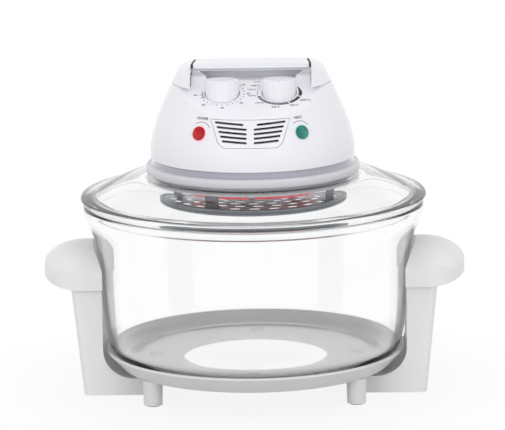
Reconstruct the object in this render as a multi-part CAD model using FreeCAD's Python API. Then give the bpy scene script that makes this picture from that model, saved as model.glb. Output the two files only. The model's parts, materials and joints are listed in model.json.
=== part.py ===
import FreeCAD, Part
import math
import os

# Halogen oven: a glass bowl in a white stand, and a glass lid that carries the heater head.
# Millimetres, +Z up, the controls face -Y, the floor is z = 0 and the bowl's axis is the Z axis.

Vector = FreeCAD.Vector
X_AXIS = Vector(1, 0, 0)
Y_AXIS = Vector(0, 1, 0)
Z_AXIS = Vector(0, 0, 1)
SIDES = (-1, 1)
FAR = 400.0                 # reach of a cutting block, well past every piece

# Clearances
BODY_GAP = 0.6              # between pieces that part from each other
REST_GAP = 0.3              # under a piece that is lifted off its seat
BEARING_GAP = 0.05          # radial, between a shaft and the bore it turns in

# Glass bowl; the stand, its handles and the lid follow from it
BOWL_WALL = 4.2
BOWL_HEEL_R = 142.0
BOWL_HEEL_H = 17.0
BOWL_HEEL_RUN = 28.0        # from the flat of the base out to the heel
BOWL_HEEL_SHARE = (0.57, 0.35)  # where the heel's inner poles lie, along the floor and up the side
BOWL_HEEL_PULL = 3.0
BOWL_BASE_R = BOWL_HEEL_R - BOWL_HEEL_RUN
BOWL_WAIST_OUT = 7.0
BOWL_WAIST_R = BOWL_HEEL_R + BOWL_WAIST_OUT
BOWL_WAIST_H = 74.0
BOWL_SHOULDER_OUT = 9.2
BOWL_SHOULDER_R = BOWL_WAIST_R + BOWL_SHOULDER_OUT
BOWL_SHOULDER_H = 130.0
BOWL_LIP_OUT = 5.8
BOWL_LIP_R = BOWL_SHOULDER_R + BOWL_LIP_OUT
BOWL_LIP_H = 11.0
BOWL_LIP_FLARE = 0.4
BOWL_HEIGHT = 154.0

# Stand ring and feet
RING_FLOOR = 3.0
RING_WALL = 3.6
RING_DEPTH = 17.0
RING_SIDE_GAP = 3.5         # from the bowl's heel out to the rolled lip
RING_FLARE = 14.5
RING_LIP_R = BOWL_HEEL_R + RING_SIDE_GAP
RING_BASE_R = RING_LIP_R - RING_FLARE
RING_BASE_WIDTH = 61.0
RING_HOLE_R = RING_BASE_R - RING_BASE_WIDTH
PAD_R = 7.0
PAD_THICKNESS = 3.0
PAD_PROUD = 1.0
FOOT_R = 9.5
FOOT_TIP_R = 9.0
FOOT_LENGTH = 24.0
FOOT_IN_X = 34.0            # from the edge of the ring's base in to a foot's axis, along X and Y
FOOT_IN_Y = 54.0
FOOT_X = RING_BASE_R - FOOT_IN_X
FOOT_Y = RING_BASE_R - FOOT_IN_Y
BOWL_PAD_R = 6.0
BOWL_PAD_THICKNESS = 1.7
BOWL_PAD_IN = 16.0
BOWL_PAD_PITCH_R = BOWL_BASE_R - BOWL_PAD_IN
BOWL_PAD_COUNT = 4
SCREW_R = 2.0
SCREW_HEAD_R = 3.8
SCREW_HEAD_H = 1.8
SCREW_LENGTH = 14.0

# Side handles
HANDLE_GAP = 3.0            # between the handle's hollow face and the bowl's side
HANDLE_BEND_R = 28.0
HANDLE_WALL = 3.0
HANDLE_COVER = 2.5
ARM_BOTTOM_Z = 1.2
ARM_THICKNESS = 16.3
ARM_REACH = 10.0            # from the screw bosses in to the end of the arm
ARM_BOSS_IN = 23.0          # from the edge of the ring's base in to the screw bosses
ARM_BOSS_X = RING_BASE_R - ARM_BOSS_IN
ARM_BOSS_Y = 18.0
ARM_BOSS_R = 6.0
ARM_INNER_X = ARM_BOSS_X - ARM_REACH
POST_HALF_DEPTH = 42.0
POST_FOOT_OUT = 16.5        # the post's outer face from the bowl's waist, at its foot and its head
POST_HEAD_OUT = 27.3
POST_FOOT_X = BOWL_WAIST_R + POST_FOOT_OUT
POST_HEAD_X = BOWL_WAIST_R + POST_HEAD_OUT
POST_EDGE_R = 8.0
EAR_BOTTOM_H = 2.0          # heights of the ear above the bowl's waist
EAR_EDGE_H = 21.0
EAR_CROWN_H = 42.0
EAR_ROOT_IN = 4.0
EAR_FLAT = 19.0
EAR_REACH = 39.5
EAR_ROOT_X = BOWL_WAIST_R - EAR_ROOT_IN
EAR_WIDE_X = EAR_ROOT_X + EAR_FLAT
EAR_TIP_X = EAR_WIDE_X + EAR_REACH
EAR_HALF_WIDTH = 49.0
EAR_TIP_DROP = 2.0
EAR_TUCK = 10.5             # rise of the ear's underside towards its tip
EAR_SIDE_REACH = 0.9        # share of the reach at which the upright side has run out
EAR_SIDE_MIN = 0.6
EAR_OUTER_SHARES = (0.0, 0.35, 0.6, 0.8, 0.92, 0.985)
EAR_INNER_SHARES = (0.0, 0.35, 0.6, 0.8, 0.9)

# Head cover
HEAD_BASE_R = 98.0
HEAD_BELLY = 22.0
HEAD_BULGE = 1.5
HEAD_SHOULDER_IN = 27.0
HEAD_SHOULDER_R = HEAD_BASE_R - HEAD_SHOULDER_IN
HEAD_SHOULDER_H = 82.5
HEAD_LEAN = 0.466           # inward run of the side per unit of rise, at the shoulder
HEAD_LEAN_REACH = 36.5
HEAD_CROWN_IN = 17.0
HEAD_CROWN_R = HEAD_SHOULDER_R - HEAD_CROWN_IN
HEAD_CROWN_RUN = 9.0
HEAD_CROWN_SHARE = 0.45
HEAD_CROWN_RISE = 8.0
HEAD_HEIGHT = HEAD_SHOULDER_H + HEAD_CROWN_RISE
HEAD_WALL = 3.0
PLATEAU_DROP = 3.0
PLATEAU_H = HEAD_SHOULDER_H - PLATEAU_DROP  # flat of the cover under the carry handle
DECK_IN = 18.0              # from the head's base in to where the deck's height is given
DECK_Y = DECK_IN - HEAD_BASE_R
DECK_DROP = 31.0
DECK_H = HEAD_SHOULDER_H - DECK_DROP
DECK_ANGLE = 23.0
DECK_EDGE_R = 8.0
BOSS_R = 4.0

# Seat of the head on the lid
GASKET = 1.5
GASKET_IN = 0.5
GASKET_OUTER_R = HEAD_BASE_R - GASKET_IN
COLLAR_OUT = 5.0
COLLAR_R = HEAD_BASE_R + COLLAR_OUT
COLLAR_FLOOR = 3.0
COLLAR_WALL = 4.0
COLLAR_HEIGHT = 9.0
COLLAR_ROUND = 3.0
COLLAR_BULGE = 0.6          # share of the collar's height at its widest level
COLLAR_SHELF = 1.0
TRIM_HEIGHT = 6.5
TRIM_WALL = 3.5
TRIM_STEP = 0.4
TRIM_WAIST = 0.8
LID_HOLE_IN = 9.5
LID_HOLE_R = HEAD_BASE_R - LID_HOLE_IN
SEAT_SCREW_R = 1.5
SEAT_SCREW_HEAD_R = 3.0
SEAT_SCREW_HEAD_H = 1.5
SEAT_SCREW_IN = 4.3
SEAT_SCREW_PITCH_R = LID_HOLE_R - SEAT_SCREW_IN
SEAT_SCREW_COUNT = 4
CLAMP_RING = 1.8
CLAMP_RING_SET = 4.0
CLAMP_RING_R = HEAD_BASE_R - CLAMP_RING_SET
CLAMP_RING_IN = 6.2
CLAMP_RING_HOLE_R = SEAT_SCREW_PITCH_R - CLAMP_RING_IN
COLLAR_HOLE_STEP = 2.0
COLLAR_HOLE_R = CLAMP_RING_HOLE_R + COLLAR_HOLE_STEP

# Glass lid
LID_OVERHANG = 2.5
LID_RIM_R = BOWL_LIP_R + LID_OVERHANG
LID_RIM_H = 6.9
LID_RIM_TAPER = 2.0          # how much narrower the rim is at its underside
LID_RIM_ROUND = 2.2
LID_RIM_UNDER_ROUND = 1.2
LID_GLASS = 4.0
LID_SKIRT_GAP = 4.8
LID_SKIRT_R = BOWL_LIP_R - BOWL_WALL - LID_SKIRT_GAP
LID_SKIRT_DROP = 8.5
LID_SKIRT_END = 1.2
LID_STEP_IN = 0.6
LID_STEP_R = LID_SKIRT_R - LID_STEP_IN
LID_STEP_H = 1.5
LID_CONE_RUN = 18.0
LID_CONE_RISE = 9.0
LID_RISE = 26.9             # from the underside of the rim to the seat of the head
LID_SEAT_OUT = 0.2
LID_SEAT_R = COLLAR_R + LID_SEAT_OUT
LID_SEAT_RUN = 16.0

# Knobs
KNOB_R = 15.9
KNOB_X = 27.0
KNOB_BEHIND = 36.0          # from the deck's given point back to the knobs' axes
KNOB_Y = DECK_Y + KNOB_BEHIND
KNOB_HEIGHT = 19.5
KNOB_FLUTES = 30
KNOB_FLUTE_DEPTH = 0.5
KNOB_EDGE = 0.8
KNOB_MARK_WIDTH = 1.6
KNOB_MARK_DEPTH = 0.5
WELL_GAP = 0.8
WELL_R = KNOB_R + WELL_GAP
WELL_DROP = 19.5
WELL_FLOOR_H = PLATEAU_H - WELL_DROP
WELL_WALL = 2.2
SHAFT_R = 3.0
SHAFT_IN_KNOB = 11.0
SHAFT_IN_BODY = 14.0
CONTROL_NECK_R = 12.5
TIMER_NECK_HEIGHT = 7.0
TIMER_R = 19.0
TIMER_HEIGHT = 22.0
THERMOSTAT_HEIGHT = 16.0
BELL_HEIGHT = 4.0
CONTACT_BLOCK = 0.7         # half side, as a share of the case's radius
CONTACT_BLOCK_HEIGHT = 5.0
BULB_R = 2.6
BULB_LENGTH = 56.0
BULB_IN = 30.0
BULB_Y = BULB_IN - HEAD_BASE_R
BULB_LIFT = 1.0
BULB_CLIP_HALF = 2.0

# Carry handle
STRAP_WIDTH = 13.5
STRAP_INNER_X = HEAD_SHOULDER_R - STRAP_WIDTH
STRAP_SINK = 7.5
STRAP_BOTTOM_H = PLATEAU_H - STRAP_SINK
STRAP_GAP = 0.5
BAR_FRONT_Y = -14.0
BAR_BACK_Y = 18.0
STRAP_BACK_Y = 17.5         # behind this line the straps are no higher than their hubs
BAR_THICKNESS = 7.0
BAR_LIP = 4.6
BAR_SLANT = 4.0
BAR_END = 1.0               # how far the bar runs into each strap
INLAY_WIDTH = 2.2
INLAY_DEPTH = 4.5
INLAY_SINK = 0.4
INLAY_LEAN = 2.4            # how much closer the inlays are at the back
INLAY_BRIDGE = 3.0
PIVOT_Y = 24.0
PIVOT_SINK = 4.5
PIVOT_H = PLATEAU_H - PIVOT_SINK
PIVOT_BOSS_R = 9.0
PIN_R = 2.0
PIN_INSIDE = 7.5
PIN_OUTSIDE = 8.5
PIN_INNER_X = STRAP_INNER_X - PIN_INSIDE
PIN_OUTER_X = STRAP_INNER_X + PIN_OUTSIDE
PIN_BLOCK_HALF = 5.0
SCOOP_FRONT_Y = -25.0
SCOOP_BACK_Y = 12.0
SCOOP_FRONT_HALF = 41.0
SCOOP_BACK_HALF = 50.0
SCOOP_DEPTH = 4.8
SCOOP_FLOOR_H = PLATEAU_H - SCOOP_DEPTH

# Vent grille and lamps
GRILLE_TOP_H = 47.7
GRILLE_HEIGHT = 25.0
GRILLE_BOTTOM_H = GRILLE_TOP_H - GRILLE_HEIGHT
GRILLE_TOP_HALF = 37.0
GRILLE_BOTTOM_HALF = 27.0
GRILLE_KNEE_X = 3.0
GRILLE_KNEE_H = 4.0
GRILLE_CORNER = 2.0
GRILLE_GAP = 0.4
GRILLE_FLANGE = 1.5
GRILLE_FLANGE_WIDTH = 3.0
SLOTS = 5
SLOT_TOP_IN = 2.4
SLOT_TOP_H = GRILLE_TOP_H - SLOT_TOP_IN
SLOT_PITCH = 4.15
SLOT_HEIGHT = 2.1
SLOT_INNER_X = 4.3
SLOT_FIRST_IN = 3.0
SLOT_SIDE_IN = 5.0
SLOT_OUTER_X = GRILLE_TOP_HALF - SLOT_SIDE_IN
SLOT_TAPER = 1.6
SLOT_SLOPE = 4.0
LAMP_X = 48.2
LAMP_H = 34.3
LENS_R = 6.75
LENS_STEP = 0.55
LENS_STEM_R = LENS_R - LENS_STEP
LENS_RIM = 1.2
LENS_DOME = 2.4
LAMP_BODY_R = 8.0
LAMP_BODY_LENGTH = 14.0
LAMP_PIN_R = 1.0
LAMP_PIN_LENGTH = 5.0

# Heater below the lid
SHIELD = 1.2
SHIELD_GAP = 3.0
SHIELD_R = HEAD_BASE_R - COLLAR_WALL - SHIELD_GAP
REFLECTOR_GAP = 4.0
REFLECTOR_R = CLAMP_RING_HOLE_R - REFLECTOR_GAP
REFLECTOR_FLARE = 3.0
REFLECTOR_DEPTH = 7.0
REFLECTOR_SHEET = 0.8
REFLECTOR_TOP_DROP = 0.5
SPACER_R = 3.5
SPACER_IN = 8.0
SPACER_PITCH_R = REFLECTOR_R - SPACER_IN
SPACER_COUNT = 4
SPACER_START = 20.0
LAMP_TUBE_R = 4.6
LAMP_RING_IN = 18.0
LAMP_RING_R = REFLECTOR_R - LAMP_RING_IN
LAMP_HANG = 10.5            # from the reflector's underside down to the tube's axis
LAMP_RING_SWEEP = 318.0
LAMP_CAP_R = 6.4
LAMP_CAP_LENGTH = 12.0
CLIP_WIDTH = 5.0
CLIP_SHEET = 0.8
CLIP_COUNT = 3
CLIP_FOOT = 4.0
GUARD_DROP = 25.0           # from the lid's seat down to the guard's plate
GUARD_SHEET = 0.6
GUARD_OUT = 0.1
GUARD_R = LID_HOLE_R + GUARD_OUT
GUARD_RIM_R = 1.6
GUARD_SKIRT = 4.0            # depth of the upright wall round the plate
GUARD_SLOT_R = 3.2
GUARD_SLOT_LENGTH = 11.0
GUARD_RINGS = ((0.34, 10), (0.52, 16), (0.70, 22), (0.87, 26))  # share of the radius, slots
GUARD_TURN = 90.0           # how far the outermost ring of slots is turned
STRUT_SHEET = 1.5
STRUT_WIDTH = 14.0
STRUT_OUT = 5.0
STRUT_R = CLAMP_RING_HOLE_R + STRUT_OUT
STRUT_FOOT = 3.0
STRUT_COUNT = 4
STRUT_START = 63.0

# Fans and motor
MOTOR_SHAFT_R = 2.5
SHAFT_HOLE_GAP = 2.5
SHAFT_HOLE_R = MOTOR_SHAFT_R + SHAFT_HOLE_GAP
HOT_FAN_R = 36.0
HOT_FAN_BLADES = 8
HOT_FAN_BLADE_H = 7.0
HOT_FAN_LIFT = 6.8
FAN_SHEET = 1.0
FAN_HUB_R = 6.0
FAN_BLADE_ROOT = 1.0
NUT_R = 4.6
NUT_H = 3.0
SHAFT_TIP = 1.5
COOL_FAN_R = 50.0
COOL_FAN_BLADES = 6
COOL_FAN_HUB_R = 14.0
COOL_FAN_H = 10.0
COOL_FAN_LIFT = 2.7
COOL_FAN_GAP = 0.3          # from the fan up to the lower bearing's hub
COOL_FAN_PITCH = 28.0
COOL_FAN_BLADE = 1.6
BRACKET_SHEET = 2.0
BRACKET_LEG_GAP = 2.0
BRACKET_LEG_R = 4.0
BRACKET_HALF = COOL_FAN_R + BRACKET_LEG_GAP + BRACKET_LEG_R
BRACKET_BAR_HALF = 10.0
BEARING_R = 7.0
BEARING_H = 6.0
ROTOR_R = 15.0
ROTOR_GAP = 0.5
CORE_SIDE_X = 18.5
CORE_SIDE_Y = 10.5
CORE_HALF_X = ROTOR_R + ROTOR_GAP + CORE_SIDE_X
CORE_HALF_Y = ROTOR_R + ROTOR_GAP + CORE_SIDE_Y
CORE_H = 22.0
CORE_LIFT = 4.5
COIL_HALF_X = 15.0
COIL_DEPTH = 20.0
COIL_H = 30.0
COIL_EDGE_R = 4.0
MOTOR_SCREW_IN = 6.0
MOTOR_SCREW_X = CORE_HALF_X - MOTOR_SCREW_IN

# Safety switch, cut-out, wiring
SWITCH_IN = 9.0
SWITCH_X = HEAD_SHOULDER_R - SWITCH_IN
SWITCH_Y = -8.0
SWITCH_HALF_X = 4.0
SWITCH_HALF_Y = 9.0
SWITCH_HEIGHT = 14.0
BUTTON_R = 2.0
BUTTON_LENGTH = 10.0
TAG_HALF_X = 1.0
TAG_HALF_Y = 1.5
TAG_Y = 5.0
TAG_LENGTH = 6.0
BLADE_HALF = 3.0
BLADE_SHEET = 0.8
CUTOUT_R = 8.0
CUTOUT_H = 9.0
CUTOUT_IN = 29.0
CUTOUT_X = CUTOUT_IN - SHIELD_R
CUTOUT_Y = 30.0
BLOCK_HALF_X = 20.0
BLOCK_HALF_Y = 8.0
BLOCK_H = 14.0
BLOCK_IN = 21.0
BLOCK_Y = SHIELD_R - BLOCK_IN
BLOCK_WAYS = 3
BLOCK_SCREW_R = 2.2
BLOCK_SCREW_DEPTH = 5.0
GLAND_H = 16.0
GLAND_R = 7.0
GLAND_BORE_R = 3.5
GLAND_FLANGE_OUT = 2.5
GLAND_FLANGE_R = GLAND_R + GLAND_FLANGE_OUT
GLAND_FLANGE = 2.0
GLAND_OUT = 9.0
GLAND_IN = 8.0

# Heights that follow from the sizes above
RING_BOTTOM_Z = PAD_PROUD + FOOT_LENGTH
RING_FLOOR_Z = RING_BOTTOM_Z + RING_FLOOR
RING_TOP_Z = RING_BOTTOM_Z + RING_DEPTH
BOWL_Z = RING_FLOOR_Z + BOWL_PAD_THICKNESS + REST_GAP
BOWL_WAIST_Z = BOWL_Z + BOWL_WAIST_H
BOWL_TOP_Z = BOWL_Z + BOWL_HEIGHT
EAR_BOTTOM_Z = BOWL_WAIST_Z + EAR_BOTTOM_H
EAR_EDGE_Z = BOWL_WAIST_Z + EAR_EDGE_H
EAR_CROWN_Z = BOWL_WAIST_Z + EAR_CROWN_H
ARM_TOP_Z = ARM_BOTTOM_Z + ARM_THICKNESS
LID_Z = BOWL_TOP_Z + BODY_GAP
SEAT_Z = LID_Z + LID_RISE
GLASS_UNDER_Z = SEAT_Z - LID_GLASS
CLAMP_TOP_Z = GLASS_UNDER_Z - GASKET
CLAMP_Z = CLAMP_TOP_Z - CLAMP_RING
COLLAR_Z = SEAT_Z + GASKET
COLLAR_FLOOR_Z = COLLAR_Z + COLLAR_FLOOR
COLLAR_TOP_Z = COLLAR_Z + COLLAR_HEIGHT
SHIELD_TOP_Z = COLLAR_FLOOR_Z + SHIELD
HEAD_Z = COLLAR_TOP_Z + TRIM_HEIGHT
HEAD_TOP_Z = HEAD_Z + HEAD_HEIGHT
SHOULDER_Z = HEAD_Z + HEAD_SHOULDER_H
PLATEAU_Z = HEAD_Z + PLATEAU_H
STRAP_BOTTOM_Z = HEAD_Z + STRAP_BOTTOM_H
PIVOT_Z = HEAD_Z + PIVOT_H
BAR_BOTTOM_Z = HEAD_TOP_Z - BAR_THICKNESS
WELL_FLOOR_Z = HEAD_Z + WELL_FLOOR_H
KNOB_Z = WELL_FLOOR_Z + REST_GAP
CONTROL_TOP_Z = WELL_FLOOR_Z - WELL_WALL
LEDGE_Z = STRAP_BOTTOM_Z - STRAP_GAP
GUARD_Z = SEAT_Z - GUARD_DROP
FAN_Z = GUARD_Z + HOT_FAN_LIFT
REFLECTOR_Z = SEAT_Z - REFLECTOR_TOP_DROP
LAMP_RING_Z = REFLECTOR_Z - REFLECTOR_SHEET - LAMP_HANG
COOL_FAN_Z = SHIELD_TOP_Z + COOL_FAN_LIFT
MOTOR_Z = COOL_FAN_Z + COOL_FAN_H + COOL_FAN_GAP + BEARING_H - BRACKET_SHEET
CORE_Z = MOTOR_Z + CORE_LIFT
CORE_TOP_Z = CORE_Z + CORE_H
UPPER_BRACKET_Z = CORE_TOP_Z + CORE_LIFT - BRACKET_SHEET


def at(radius, degrees, height=0.0):
    """Point on a circle about the Z axis."""
    angle = math.radians(degrees)
    return Vector(radius * math.cos(angle), radius * math.sin(angle), height)


def ring_angles(count, start=0.0):
    """Evenly spaced angles round the Z axis."""
    return [start + 360.0 * index / count for index in range(count)]


def cylinder(radius, bottom, top, x=0.0, y=0.0):
    """Upright cylinder between two heights."""
    return Part.makeCylinder(radius, top - bottom, Vector(x, y, bottom))


def tube(outer, inner, bottom, top, x=0.0, y=0.0):
    """Upright tube between two heights."""
    return cylinder(outer, bottom, top, x, y).cut(cylinder(inner, bottom, top, x, y))


def box(x0, x1, y0, y1, z0, z1):
    """Block between two corners."""
    return Part.makeBox(x1 - x0, y1 - y0, z1 - z0, Vector(x0, y0, z0))


def polygon_face(points):
    """Flat face with straight sides through the points."""
    return Part.Face(Part.makePolygon(points + [points[0]]))


def lathe(profile):
    """Solid turned about the Z axis from (radius, height) corners."""
    face = polygon_face([Vector(radius, 0, height) for radius, height in profile])
    return face.revolve(Vector(), Z_AXIS, 360)


def lathe_edges(edges):
    """Solid turned about the Z axis from a closed run of edges."""
    face = Part.Face(Part.Wire(edges))
    return face.revolve(Vector(), Z_AXIS, 360)


def line(start, end):
    """Straight edge between two (radius, height) points."""
    return Part.makeLine(Vector(start[0], 0, start[1]), Vector(end[0], 0, end[1]))


def arc(start, middle, end):
    """Round edge through three (radius, height) points."""
    points = [Vector(radius, 0, height) for radius, height in (start, middle, end)]
    return Part.Arc(*points).toShape()


def bezier(poles):
    """Smooth edge from (radius, height) poles."""
    curve = Part.BezierCurve()
    curve.setPoles([Vector(radius, 0, height) for radius, height in poles])
    return curve.toShape()


def spline(points):
    """Smooth edge through (radius, height) points."""
    curve = Part.BSplineCurve()
    curve.interpolate([Vector(radius, 0, height) for radius, height in points])
    return curve.toShape()


def prism_x(points, x0, x1):
    """Prism along X from (y, z) corners."""
    face = polygon_face([Vector(x0, y, z) for y, z in points])
    return face.extrude(Vector(x1 - x0, 0, 0))


def prism_y(points, y0, y1):
    """Prism along Y from (x, z) corners."""
    face = polygon_face([Vector(x, y0, z) for x, z in points])
    return face.extrude(Vector(0, y1 - y0, 0))


def fuse_all(shapes):
    """One solid from shapes that touch or overlap."""
    return shapes[0].fuse(shapes[1:]).removeSplitter()


def cut_all(shape, tools):
    """The shape less every tool."""
    return shape.cut(Part.makeCompound(tools)) if tools else shape


def around(shape, angles):
    """Turned copies of a shape, each still a separate solid."""
    copies = []
    for degrees in angles:
        copy = shape.copy()
        copy.rotate(Vector(), Z_AXIS, degrees)
        copies.append(copy)
    return copies


def mirror_x(shape):
    """The shape's twin on the other side of the object."""
    return shape.mirror(Vector(), X_AXIS)


def round_edges(shape, radius, wanted):
    """Round the edges that the test picks out."""
    edges = [edge for edge in shape.Edges if wanted(edge)]
    return shape.makeFillet(radius, edges) if edges else shape


# Stand


def foot_places():
    return [(side_x * FOOT_X, side_y * FOOT_Y) for side_x in SIDES for side_y in SIDES]


def foot(x, y):
    """Tapered leg with a recess for its rubber pad and a hole for its screw."""
    leg = Part.makeCone(FOOT_TIP_R, FOOT_R, FOOT_LENGTH, Vector(x, y, PAD_PROUD))
    recess = cylinder(PAD_R, PAD_PROUD, PAD_THICKNESS, x, y)
    hole = cylinder(SCREW_R, RING_FLOOR_Z - SCREW_LENGTH, RING_BOTTOM_Z, x, y)
    return leg.cut(recess).cut(hole)


def make_feet():
    return [foot(x, y) for x, y in foot_places()]


def make_foot_pads():
    return [cylinder(PAD_R, 0, PAD_THICKNESS, x, y) for x, y in foot_places()]


def flush_screw(x, y, head_z):
    """Countersunk screw whose head lies level with head_z."""
    head = Part.makeCone(SCREW_R, SCREW_HEAD_R, SCREW_HEAD_H, Vector(x, y, head_z - SCREW_HEAD_H))
    shank = cylinder(SCREW_R, head_z - SCREW_LENGTH, head_z - SCREW_HEAD_H, x, y)
    return fuse_all([head, shank])


def handle_screw_places():
    return [(side_x * ARM_BOSS_X, side_y * ARM_BOSS_Y) for side_x in SIDES for side_y in SIDES]


def make_stand_screws():
    places = foot_places() + handle_screw_places()
    return [flush_screw(x, y, RING_FLOOR_Z) for x, y in places]


def make_stand_ring():
    """Shallow dish with a rolled lip and an open middle."""
    roll = RING_WALL / 2
    lip_in = RING_LIP_R - RING_WALL
    base_in = RING_BASE_R - RING_WALL
    edges = [
        line((RING_HOLE_R, RING_BOTTOM_Z), (RING_BASE_R, RING_BOTTOM_Z)),
        line((RING_BASE_R, RING_BOTTOM_Z), (RING_LIP_R, RING_TOP_Z - roll)),
        arc((RING_LIP_R, RING_TOP_Z - roll), (RING_LIP_R - roll, RING_TOP_Z), (lip_in, RING_TOP_Z - roll)),
        line((lip_in, RING_TOP_Z - roll), (base_in, RING_FLOOR_Z)),
        line((base_in, RING_FLOOR_Z), (RING_HOLE_R, RING_FLOOR_Z)),
        line((RING_HOLE_R, RING_FLOOR_Z), (RING_HOLE_R, RING_BOTTOM_Z)),
    ]
    return cut_all(lathe_edges(edges), make_stand_screws())


def make_bowl_pads():
    places = [at(BOWL_PAD_PITCH_R, angle) for angle in ring_angles(BOWL_PAD_COUNT)]
    top = RING_FLOOR_Z + BOWL_PAD_THICKNESS
    return [cylinder(BOWL_PAD_R, RING_FLOOR_Z, top, place.x, place.y) for place in places]


# Bowl


def bowl_outer_points():
    """(radius, height) of the bowl's side from its heel to its lip."""
    lip_z = BOWL_TOP_Z - BOWL_LIP_H
    return [
        (BOWL_HEEL_R, BOWL_Z + BOWL_HEEL_H),
        (BOWL_WAIST_R, BOWL_Z + BOWL_WAIST_H),
        (BOWL_SHOULDER_R, BOWL_Z + BOWL_SHOULDER_H),
        (BOWL_LIP_R - BOWL_LIP_FLARE, lip_z),
        (BOWL_LIP_R, BOWL_TOP_Z - BOWL_WALL / 2),
    ]


def heel_poles(inset):
    """Poles of the rounded corner between the bowl's floor and its side."""
    floor_z = BOWL_Z + inset
    heel = BOWL_HEEL_R - inset
    along_floor, up_side = BOWL_HEEL_SHARE
    return [
        (BOWL_BASE_R - inset, floor_z),
        (BOWL_BASE_R + along_floor * (BOWL_HEEL_R - BOWL_BASE_R) - inset, floor_z),
        (heel - BOWL_HEEL_PULL, BOWL_Z + up_side * BOWL_HEEL_H + inset),
        (heel, BOWL_Z + BOWL_HEEL_H),
    ]


def make_glass_bowl():
    """Glass bowl, one thickness all over, with a flared and rounded lip."""
    outer = bowl_outer_points()
    inner = [(radius - BOWL_WALL, height) for radius, height in outer]
    lip_top = (BOWL_LIP_R - BOWL_WALL / 2, BOWL_TOP_Z)
    edges = [
        line((0, BOWL_Z), (BOWL_BASE_R, BOWL_Z)),
        bezier(heel_poles(0.0)),
        spline(outer),
        arc(outer[-1], lip_top, inner[-1]),
        spline(inner),
        bezier(heel_poles(BOWL_WALL)),
        line((BOWL_BASE_R - BOWL_WALL, BOWL_Z + BOWL_WALL), (0, BOWL_Z + BOWL_WALL)),
        line((0, BOWL_Z + BOWL_WALL), (0, BOWL_Z)),
    ]
    return lathe_edges(Part.__sortEdges__(edges))


# Side handles, modelled on +X and mirrored


def handle_face_cutter(extra):
    """Turned block that hollows the handle towards the bowl; extra moves its face outwards."""
    gap = HANDLE_GAP + extra
    face = BOWL_WAIST_R + gap
    floor_z = ARM_TOP_Z - extra
    bend_in = face - HANDLE_BEND_R
    bend_z = floor_z + HANDLE_BEND_R
    cut = HANDLE_BEND_R * (1 - math.cos(math.pi / 4))
    foot_edges = [
        line((0, floor_z), (bend_in, floor_z)),
        arc((bend_in, floor_z), (face - cut, floor_z + cut), (face, bend_z)),
        line((face, bend_z), (face, BOWL_WAIST_Z)),
        line((face, BOWL_WAIST_Z), (0, BOWL_WAIST_Z)),
        line((0, BOWL_WAIST_Z), (0, floor_z)),
    ]
    side = [(radius + gap, height) for radius, height in bowl_outer_points()]
    low_z = side[0][1]
    top = (side[-1][0], BOWL_TOP_Z + gap)
    side_edges = [
        line((0, low_z), side[0]),
        spline(side),
        line(side[-1], top),
        line(top, (0, top[1])),
        line((0, top[1]), (0, low_z)),
    ]
    return fuse_all([lathe_edges(foot_edges), lathe_edges(side_edges)])


def post_block(inset):
    """Post and bottom arm in one, with rounded upright edges on the outside."""
    half = POST_HALF_DEPTH - inset
    bottom = ARM_BOTTOM_Z + inset
    profile = [
        (ARM_INNER_X + inset, bottom),
        (POST_FOOT_X - inset, bottom),
        (POST_HEAD_X - inset, EAR_BOTTOM_Z + HANDLE_WALL),
        (ARM_INNER_X + inset, EAR_BOTTOM_Z + HANDLE_WALL),
    ]
    block = prism_y(profile, -half, half)

    def is_outer_upright(edge):
        ends = [vertex.Point for vertex in edge.Vertexes]
        outside = all(point.x > POST_FOOT_X - inset - 1 for point in ends)
        return outside and abs(ends[0].z - ends[1].z) > 1

    return round_edges(block, POST_EDGE_R - inset, is_outer_upright)


def ear_section(x, inset):
    """Upright outline of the ear at one distance from the bowl's axis."""
    reach = max(0.0, (x - EAR_WIDE_X) / (EAR_TIP_X - EAR_WIDE_X))
    fall = math.sqrt(max(0.0, 1 - reach * reach))
    half = EAR_HALF_WIDTH * fall - inset
    bottom = EAR_BOTTOM_Z + EAR_TUCK * (1 - fall) + inset
    tip_z = EAR_EDGE_Z - EAR_TIP_DROP
    side = (EAR_EDGE_Z - EAR_BOTTOM_Z) * (1 - (reach / EAR_SIDE_REACH) ** 4) - 2 * inset
    edge_z = bottom + max(EAR_SIDE_MIN, side)
    crown = tip_z + (EAR_CROWN_Z - tip_z) * fall - inset
    left_low = Vector(x, -half, bottom)
    left_high = Vector(x, -half, edge_z)
    right_high = Vector(x, half, edge_z)
    right_low = Vector(x, half, bottom)
    return Part.Wire([
        Part.makeLine(left_low, left_high),
        Part.Arc(left_high, Vector(x, 0, crown), right_high).toShape(),
        Part.makeLine(right_high, right_low),
        Part.makeLine(right_low, left_low),
    ])


def ear_loft(inset):
    """Dome-topped ear with a half-round plan."""
    span = EAR_TIP_X - EAR_WIDE_X
    shares = EAR_OUTER_SHARES if inset == 0 else EAR_INNER_SHARES
    places = [EAR_ROOT_X] + [EAR_WIDE_X + share * span for share in shares]
    return Part.makeLoft([ear_section(x, inset) for x in places], True, False)


def arm_bosses(radius, top):
    return [cylinder(radius, ARM_BOTTOM_Z, top, ARM_BOSS_X, side * ARM_BOSS_Y) for side in SIDES]


def handle_hollow():
    """Room inside the handle's shell, open towards the bowl."""
    return fuse_all([post_block(HANDLE_WALL), ear_loft(HANDLE_WALL)])


def handle_screw_cutters():
    places = [(ARM_BOSS_X, side * ARM_BOSS_Y) for side in SIDES]
    return [flush_screw(x, y, RING_FLOOR_Z) for x, y in places]


def make_handle_shell():
    """Outer shell of a side handle with the two bosses that reach up to the ring."""
    solid = fuse_all([post_block(0.0), ear_loft(0.0)]).cut(handle_face_cutter(0.0))
    shell = solid.cut(handle_hollow())
    shell = fuse_all([shell] + arm_bosses(ARM_BOSS_R, RING_BOTTOM_Z))
    return cut_all(shell, handle_screw_cutters())


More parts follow.
